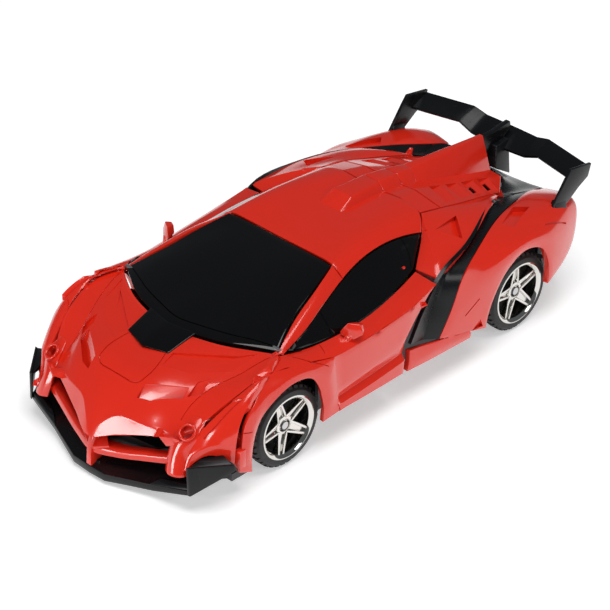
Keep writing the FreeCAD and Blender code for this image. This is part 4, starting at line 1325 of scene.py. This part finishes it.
@dataclass
class RobotHead:
    """Helmet and face that lie folded under the hood, with the face toward the ground."""

    body: str = "head_unit"
    crown_y: float = -91.6
    chin_y: float = -69.0
    slits: int = 4

    def helmet(self) -> bpy.types.Object:
        """Helmet on its sliding neck, with a crest, round ears and two short horns."""
        shell = block("helmet_shell", four_corners((9.4, self.chin_y, 15.4), (8.6, self.chin_y, 31)),
                      four_corners((10.6, -88.6, 14.6), (9.2, -89.6, 32)), 1.5, 3)
        crest = block("crest", four_corners((2.2, -90.4, 13.4), (2.6, -89, 30)),
                      four_corners((1, self.crown_y, 13.8), (1.4, self.crown_y, 28)), 0.35)
        brow = block("brow", four_corners((3.4, -90, 12.8), (1.2, -82, 12.6)),
                     four_corners((3, -90, 15), (1.2, -82, 15)), 0.3)
        neck = box("neck", (-5, -70, 18), (5, -42.4, 28), 0.6)
        ear = join("ear", [cylinder("ear", (9.6, -80, 23), (1, 0, 0), 4.2, 2.0, 0.4),
                           cylinder("hub", (11.4, -80, 23), (1, 0, 0), 2.4, 0.9, 0.3)])
        horn = block("horn", [(10.2, -80, 20.6), (12, -80, 20.6), (12, -80, 25), (10.2, -80, 25)],
                     [(10.6, self.crown_y, 21.8), (11.6, self.crown_y, 21.8), (11.6, self.crown_y, 23.4),
                      (10.6, self.crown_y, 23.4)], 0.25)
        cheek = block("cheek", [(6.6, -81, 13.2), (9.6, -81, 14.4), (8.6, -70.4, 14.8), (5.2, -70.4, 13.6)],
                      [(6.6, -81, 16), (9.6, -81, 17), (8.6, -70.4, 17), (5.2, -70.4, 16)], 0.4)
        return join("robot_helmet", [shell, crest, brow, neck, *with_mirrors([ear, horn, cheek])])

    def face(self) -> bpy.types.Object:
        """Face with a mouth guard of narrow bars."""
        shell = block("face_shell", four_corners((6, -84, 13.2), (4.2, -71, 12.9)),
                      four_corners((6.4, -84, 15), (5, -70.6, 15)), 0.4)
        nose = block("ridge", four_corners((0.5, -81, 12.5), (1.1, -77.4, 12.2)),
                     four_corners((1, -81, 13.6), (1.6, -77.4, 13.6)), 0.2)
        bars = [plate("bar", [(x, -76.4, 12.3), (x + 0.9, -76.4, 12.3), (x + 0.8, -71.6, 12.4),
                              (x, -71.6, 12.4)],
                      (0, 0, 1.2),
                      0.15) for x in (1.7 * k - 0.85 * self.slits + 0.4 for k in range(self.slits))]
        return join("robot_face", [shell, nose, *bars])

    def visor(self) -> bpy.types.Object:
        """The two slanted eyes."""
        eye = block("eye", [(1.4, -82.4, 12.7), (5.6, -83.2, 12.9), (5.6, -80.8, 12.9), (1.6, -80, 12.7)],
                    [(1.4, -82.4, 13.8), (5.6, -83.2, 13.9), (5.6, -80.8, 13.9), (1.6, -80, 13.8)], 0.2)
        return join("robot_eyes", with_mirrors([eye]))

    def build(self) -> None:
        """Builds and fits the head."""
        fit(self.helmet(), self.body, "head_blue", ("head",))
        fit(self.face(), self.body, "face_silver", ("face_plate",))
        fit(self.visor(), self.body, "lamp_lens")


# wheels


@dataclass
class Wheel:
    """One star-spoked wheel with a low tyre."""

    face_x: float = 46.5
    width: float = 14.0
    tyre_radius: float = 16.2
    rim_radius: float = 12.7
    spokes: int = 5
    lugs: int = 34

    def turned(self, name: str, profile: list[tuple[float, float]], segments: int = 72) -> bpy.types.Object:
        """A closed ring about the wheel's axis.

        Args:
            name: the new piece's name.
            profile: its closed outline as places along the axis and radii.
            segments: the faces around it.

        Returns:
            The ring, about the drawing's origin.
        """
        vertices, faces = [], []
        count = len(profile)
        for k in range(segments):
            angle = 2 * math.pi * k / segments
            vertices += [Vector((x, r * math.cos(angle), r * math.sin(angle))) * MM for x, r in profile]
        for k in range(segments):
            j = (k + 1) % segments
            for i in range(count):
                n = (i + 1) % count
                faces.append((k * count + i, k * count + n, j * count + n, j * count + i))
        piece = piece_from(name, vertices, faces)
        outward(piece)
        soften(piece, 28.0)
        return piece

    def tyre(self) -> bpy.types.Object:
        """Tyre with a rounded shoulder and rows of blocks on both shoulders."""
        outer, inner, r, rim = self.face_x, self.face_x - self.width, self.tyre_radius, self.rim_radius
        profile = [(inner, rim), (inner - 0.05, rim + 0.8), (inner + 0.2, rim + 1.9), (inner + 0.9,
                                                                                       r - 0.9),
                   (inner + 2, r - 0.45), (outer - 2, r - 0.45), (outer - 0.9, r - 0.9), (outer - 0.2,
                                                                                          rim + 1.9),
                   (outer + 0.05, rim + 0.8), (outer, rim)]
        pieces = [self.turned("tyre", profile)]
        step = 2 * math.pi / self.lugs
        for side, x0, x1 in ((0.0, outer - 4.6, outer - 0.5), (0.5, inner + 0.5, inner + 4.6)):
            for k in range(self.lugs):
                pieces.append(self._lug((k + side) * step, x0, x1, step * 0.64))
        return join("tyre", pieces)

    def _lug(self, angle: float, x0: float, x1: float, share: float) -> bpy.types.Object:
        """One tread block that folds over the shoulder.

        Args:
            angle: where its middle stands round the axis.
            x0: where it starts along the axis.
            x1: where it ends.
            share: the angle that it covers.

        Returns:
            The block.
        """
        top, low = self.tyre_radius, self.tyre_radius - 1.6
        section = [(x1, low), (x1, top), (x0 + 0.9, top), (x0, low)]
        if x1 > self.face_x - 2:
            section = [(x0, low), (x0, top), (x1 - 0.9, top), (x1, low)]
        return tube("lug", [[Vector((x, r * math.cos(turn), r * math.sin(turn))) * MM for x, r in section]
                            for turn in (angle - share / 2, angle + share / 2)])

    def rim(self) -> bpy.types.Object:
        """Bright rim with double-edged spokes, a sunk hub and its screw."""
        outer, inner, rim = self.face_x, self.face_x - self.width, self.rim_radius
        lip = [(inner, rim - 0.1), (inner, rim - 1.4), (outer - 3.4, rim - 1.9), (outer - 1.0, rim - 1.7),
               (outer - 0.1, rim - 1.0), (outer + 0.15, rim - 0.55), (outer, rim - 0.05)]
        hub = [(inner + 3, 1.3), (inner + 3, 3.2), (outer - 3.2, 3.9), (outer - 2.4, 3.6), (outer - 2.2,
                                                                                            2.6),
               (outer - 3.4, 2.3), (outer - 3.4, 1.3)]
        pieces = [self.turned("rim", lip), self.turned("hub", hub)]
        for k in range(self.spokes):
            pieces += self._spoke(2 * math.pi * k / self.spokes)
        deselect()
        bpy.ops.mesh.primitive_cylinder_add(vertices=24, radius=1.5 * MM, depth=1.2 * MM,
                                            location=((outer - 3.2) * MM, 0, 0), rotation=(0, math.pi / 2,
                                                                                           0))
        screw = bpy.context.object
        screw.data.transform(screw.matrix_world)
        screw.matrix_world = Matrix.Identity(4)
        round_edges(screw, 0.3)
        pieces.append(screw)
        return join("rim", pieces)

    def web(self) -> bpy.types.Object:
        """Dark disc behind the spokes."""
        inner, rim = self.face_x - self.width, self.rim_radius
        disc = [(inner + 3.6, 1.8), (inner + 3.6, rim - 1.3), (inner + 5.0, rim - 1.3), (inner + 5.6,
                                                                                         rim - 4.6),
                (inner + 7.4, rim - 5.2), (inner + 7.4, 1.8)]
        return self.turned("web", disc)

    def _spoke(self, angle: float) -> list[bpy.types.Object]:
        """One spoke: a broad base with a raised ridge along each side.

        Args:
            angle: where it stands round the axis.

        Returns:
            The base and its two ridges.
        """
        outer, reach = self.face_x, self.rim_radius - 1.5
        turn = Matrix.Rotation(angle, 4, "X")
        made = []
        base = [(outer - 3.1, -2.1, 2.4), (outer - 3.1, 2.1, 2.4), (outer - 1.7, 1.3, reach), (outer - 1.7,
                                                                                               -1.3, reach)]
        made.append(self._bar("spoke", base, 2.4, 0.3))
        for side in (-1, 1):
            ridge = [(outer - 2.2, side * 2.5, 2.6), (outer - 2.2, side * 1.5, 2.6), (outer - 0.8,
                                                                                      side * 0.6, reach),
                     (outer - 0.8, side * 1.6, reach)]
            made.append(self._bar("ridge", ridge, 2.6, 0.28))
        for piece in made:
            piece.data.transform(turn)
        return made

    def _bar(self, name: str, face: list[Point], depth: float, bevel: float) -> bpy.types.Object:
        """A straight bar behind a four-cornered face, with rounded edges.

        Args:
            name: the new piece's name.
            face: its outer face, about the wheel's centre.
            depth: how far it reaches inward.
            bevel: the radius of its edges.

        Returns:
            The bar.
        """
        piece = tube(name, [[Vector((x - back, y, z)) * MM for x, y, z in face] for back in (0, depth)])
        round_edges(piece, bevel)
        soften(piece)
        return piece

    def build(self) -> None:
        """Builds one wheel, copies it to all four corners and fits them."""
        kinds = ((self.tyre(), "tyre_block", "tyre_rubber", "tyre"), (self.rim(), "star_rim", "rim_chrome",
                                                                      "rim"),
                 (self.web(), "wheel_web", "tyre_rubber", None))
        corners = (("front", "left", -HALF_WHEELBASE, 0.35), ("front", "right", -HALF_WHEELBASE, 0.9),
                   ("rear", "left", HALF_WHEELBASE, 0.12), ("rear", "right", HALF_WHEELBASE, 0.6))
        for end, side, y, angle in corners:
            body = "rear_wheels" if end == "rear" else f"wheel_front_{side}"
            place = Matrix.Translation(metres((0, y, self.tyre_radius)))
            if side == "right":
                place = place @ MIRROR
            place = place @ Matrix.Rotation(angle, 4, "X")
            for master, stem, slot, node in kinds:
                copy = copy_of(master, f"{end}_{stem}_{side}", place)
                fit(copy, body, slot, (f"{end}_{node}_{side}",) if node else ())
        for master, *_ in kinds:
            bpy.data.objects.remove(master)


# carried-over nodes and the studio


@dataclass
class PlainNodes:
    """The nodes that keep their own shape and get a better finish."""

    loaded: dict

    def build(self) -> None:
        """Dresses every node of the frame in the finish of its material slot."""
        slots = {part["node"]: part["material_slot"] for part in self.loaded["record"]["subparts"]}
        for name, node in self.loaded["nodes"].items():
            FINISHES[slots[name]].dress(node)
            LOG.info("%s keeps its shape in %s", name, slots[name])


@dataclass
class Studio:
    """Pale floor, soft lights and the camera."""

    azimuth: float = 44.6253
    elevation: float = 32.8045
    distance: float = 0.990157
    lens: float = 155.1
    roll: float = 0.053
    target: Point = (-0.000086, -0.004020, 0.021614)
    floor_size: float = 6.0
    floor_glow: float = 0.42
    sky_strength: float = 0.12
    lights: tuple[tuple[str, Point, tuple[float, float], float], ...] = (
        ("top", (0.25, -0.1, 1.4), (0.9, 0.9), 13), ("front", (-0.16, -1.3, 0.16), (0.4, 0.24), 4),
        ("slot", (0.15, -1.3, 0.76), (0.2, 0.16), 1.5), ("side", (1.4, 0.1, 0.8), (0.5, 0.5), 4))

    def floor(self) -> None:
        """A wide pale floor under the car."""
        deselect()
        bpy.ops.mesh.primitive_plane_add(size=self.floor_size, location=(0, 0, -0.0002))
        floor = bpy.context.object
        floor.name = "studio_floor"
        floor.data.transform(floor.matrix_world)
        floor.matrix_world = Matrix.Identity(4)
        recipe = Recipe("floor_paper")
        recipe.shader.inputs["Base Color"].default_value = (0.93, 0.93, 0.93, 1)
        recipe.shader.inputs["Roughness"].default_value = 0.9
        recipe.shader.inputs["Emission Color"].default_value = (1, 1, 1, 1)
        recipe.shader.inputs["Emission Strength"].default_value = self.floor_glow
        floor.data.materials.append(recipe.material)

    def light(self, name: str, place: Point, size: tuple[float, float], power: float) -> None:
        """One soft rectangular light that looks at the car.

        Args:
            name: the light's name.
            place: where it stands, in metres.
            size: its width and height in metres.
            power: its power in watts.
        """
        data = bpy.data.lights.new(name, "AREA")
        data.shape = "RECTANGLE"
        data.size, data.size_y = size
        data.energy = power
        lamp = bpy.data.objects.new(name, data)
        bpy.context.scene.collection.objects.link(lamp)
        look = Vector((0, 0, 0.03)) - Vector(place)
        lamp.matrix_world = Matrix.Translation(place) @ look.to_track_quat("-Z", "Y").to_matrix().to_4x4()

    def camera(self) -> None:
        """The camera at the viewing angle."""
        turn, rise = math.radians(self.azimuth), math.radians(self.elevation)
        back = Vector((math.sin(turn) * math.cos(rise), -math.cos(turn) * math.cos(rise), math.sin(rise)))
        right = Vector((0, 0, 1)).cross(back).normalized()
        up = back.cross(right)
        axes = Matrix((right, up, back)).transposed().to_4x4() @ Matrix.Rotation(math.radians(self.roll), 4,
                                                                                 "Z")
        data = bpy.data.cameras.new("camera")
        data.lens = self.lens
        data.sensor_width = 36.0
        camera = bpy.data.objects.new("camera", data)
        bpy.context.scene.collection.objects.link(camera)
        camera.matrix_world = Matrix.Translation(Vector(self.target) + back * self.distance) @ axes
        bpy.context.scene.camera = camera

    def build(self) -> None:
        """Sets the whole studio."""
        world = bpy.data.worlds.new("studio")
        world.use_nodes = True
        world.node_tree.nodes["Background"].inputs["Color"].default_value = (0.9, 0.95, 1.0, 1)
        world.node_tree.nodes["Background"].inputs["Strength"].default_value = self.sky_strength
        bpy.context.scene.world = world
        bpy.context.scene.view_settings.view_transform = "Standard"
        self.floor()
        for name, place, size, power in self.lights:
            self.light(name, place, size, power)
        self.camera()


def main() -> None:
    logging.basicConfig(level=logging.INFO)
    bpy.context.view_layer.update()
    PlainNodes(frame).build()
    for assembly in (FrontClip(), Cabin(), Tail(), DoorArms(), RobotHead(), Wheel()):
        LOG.info("building %s", type(assembly).__name__)
        assembly.build()
    Studio().build()


if __name__ == "__main__":
    main()
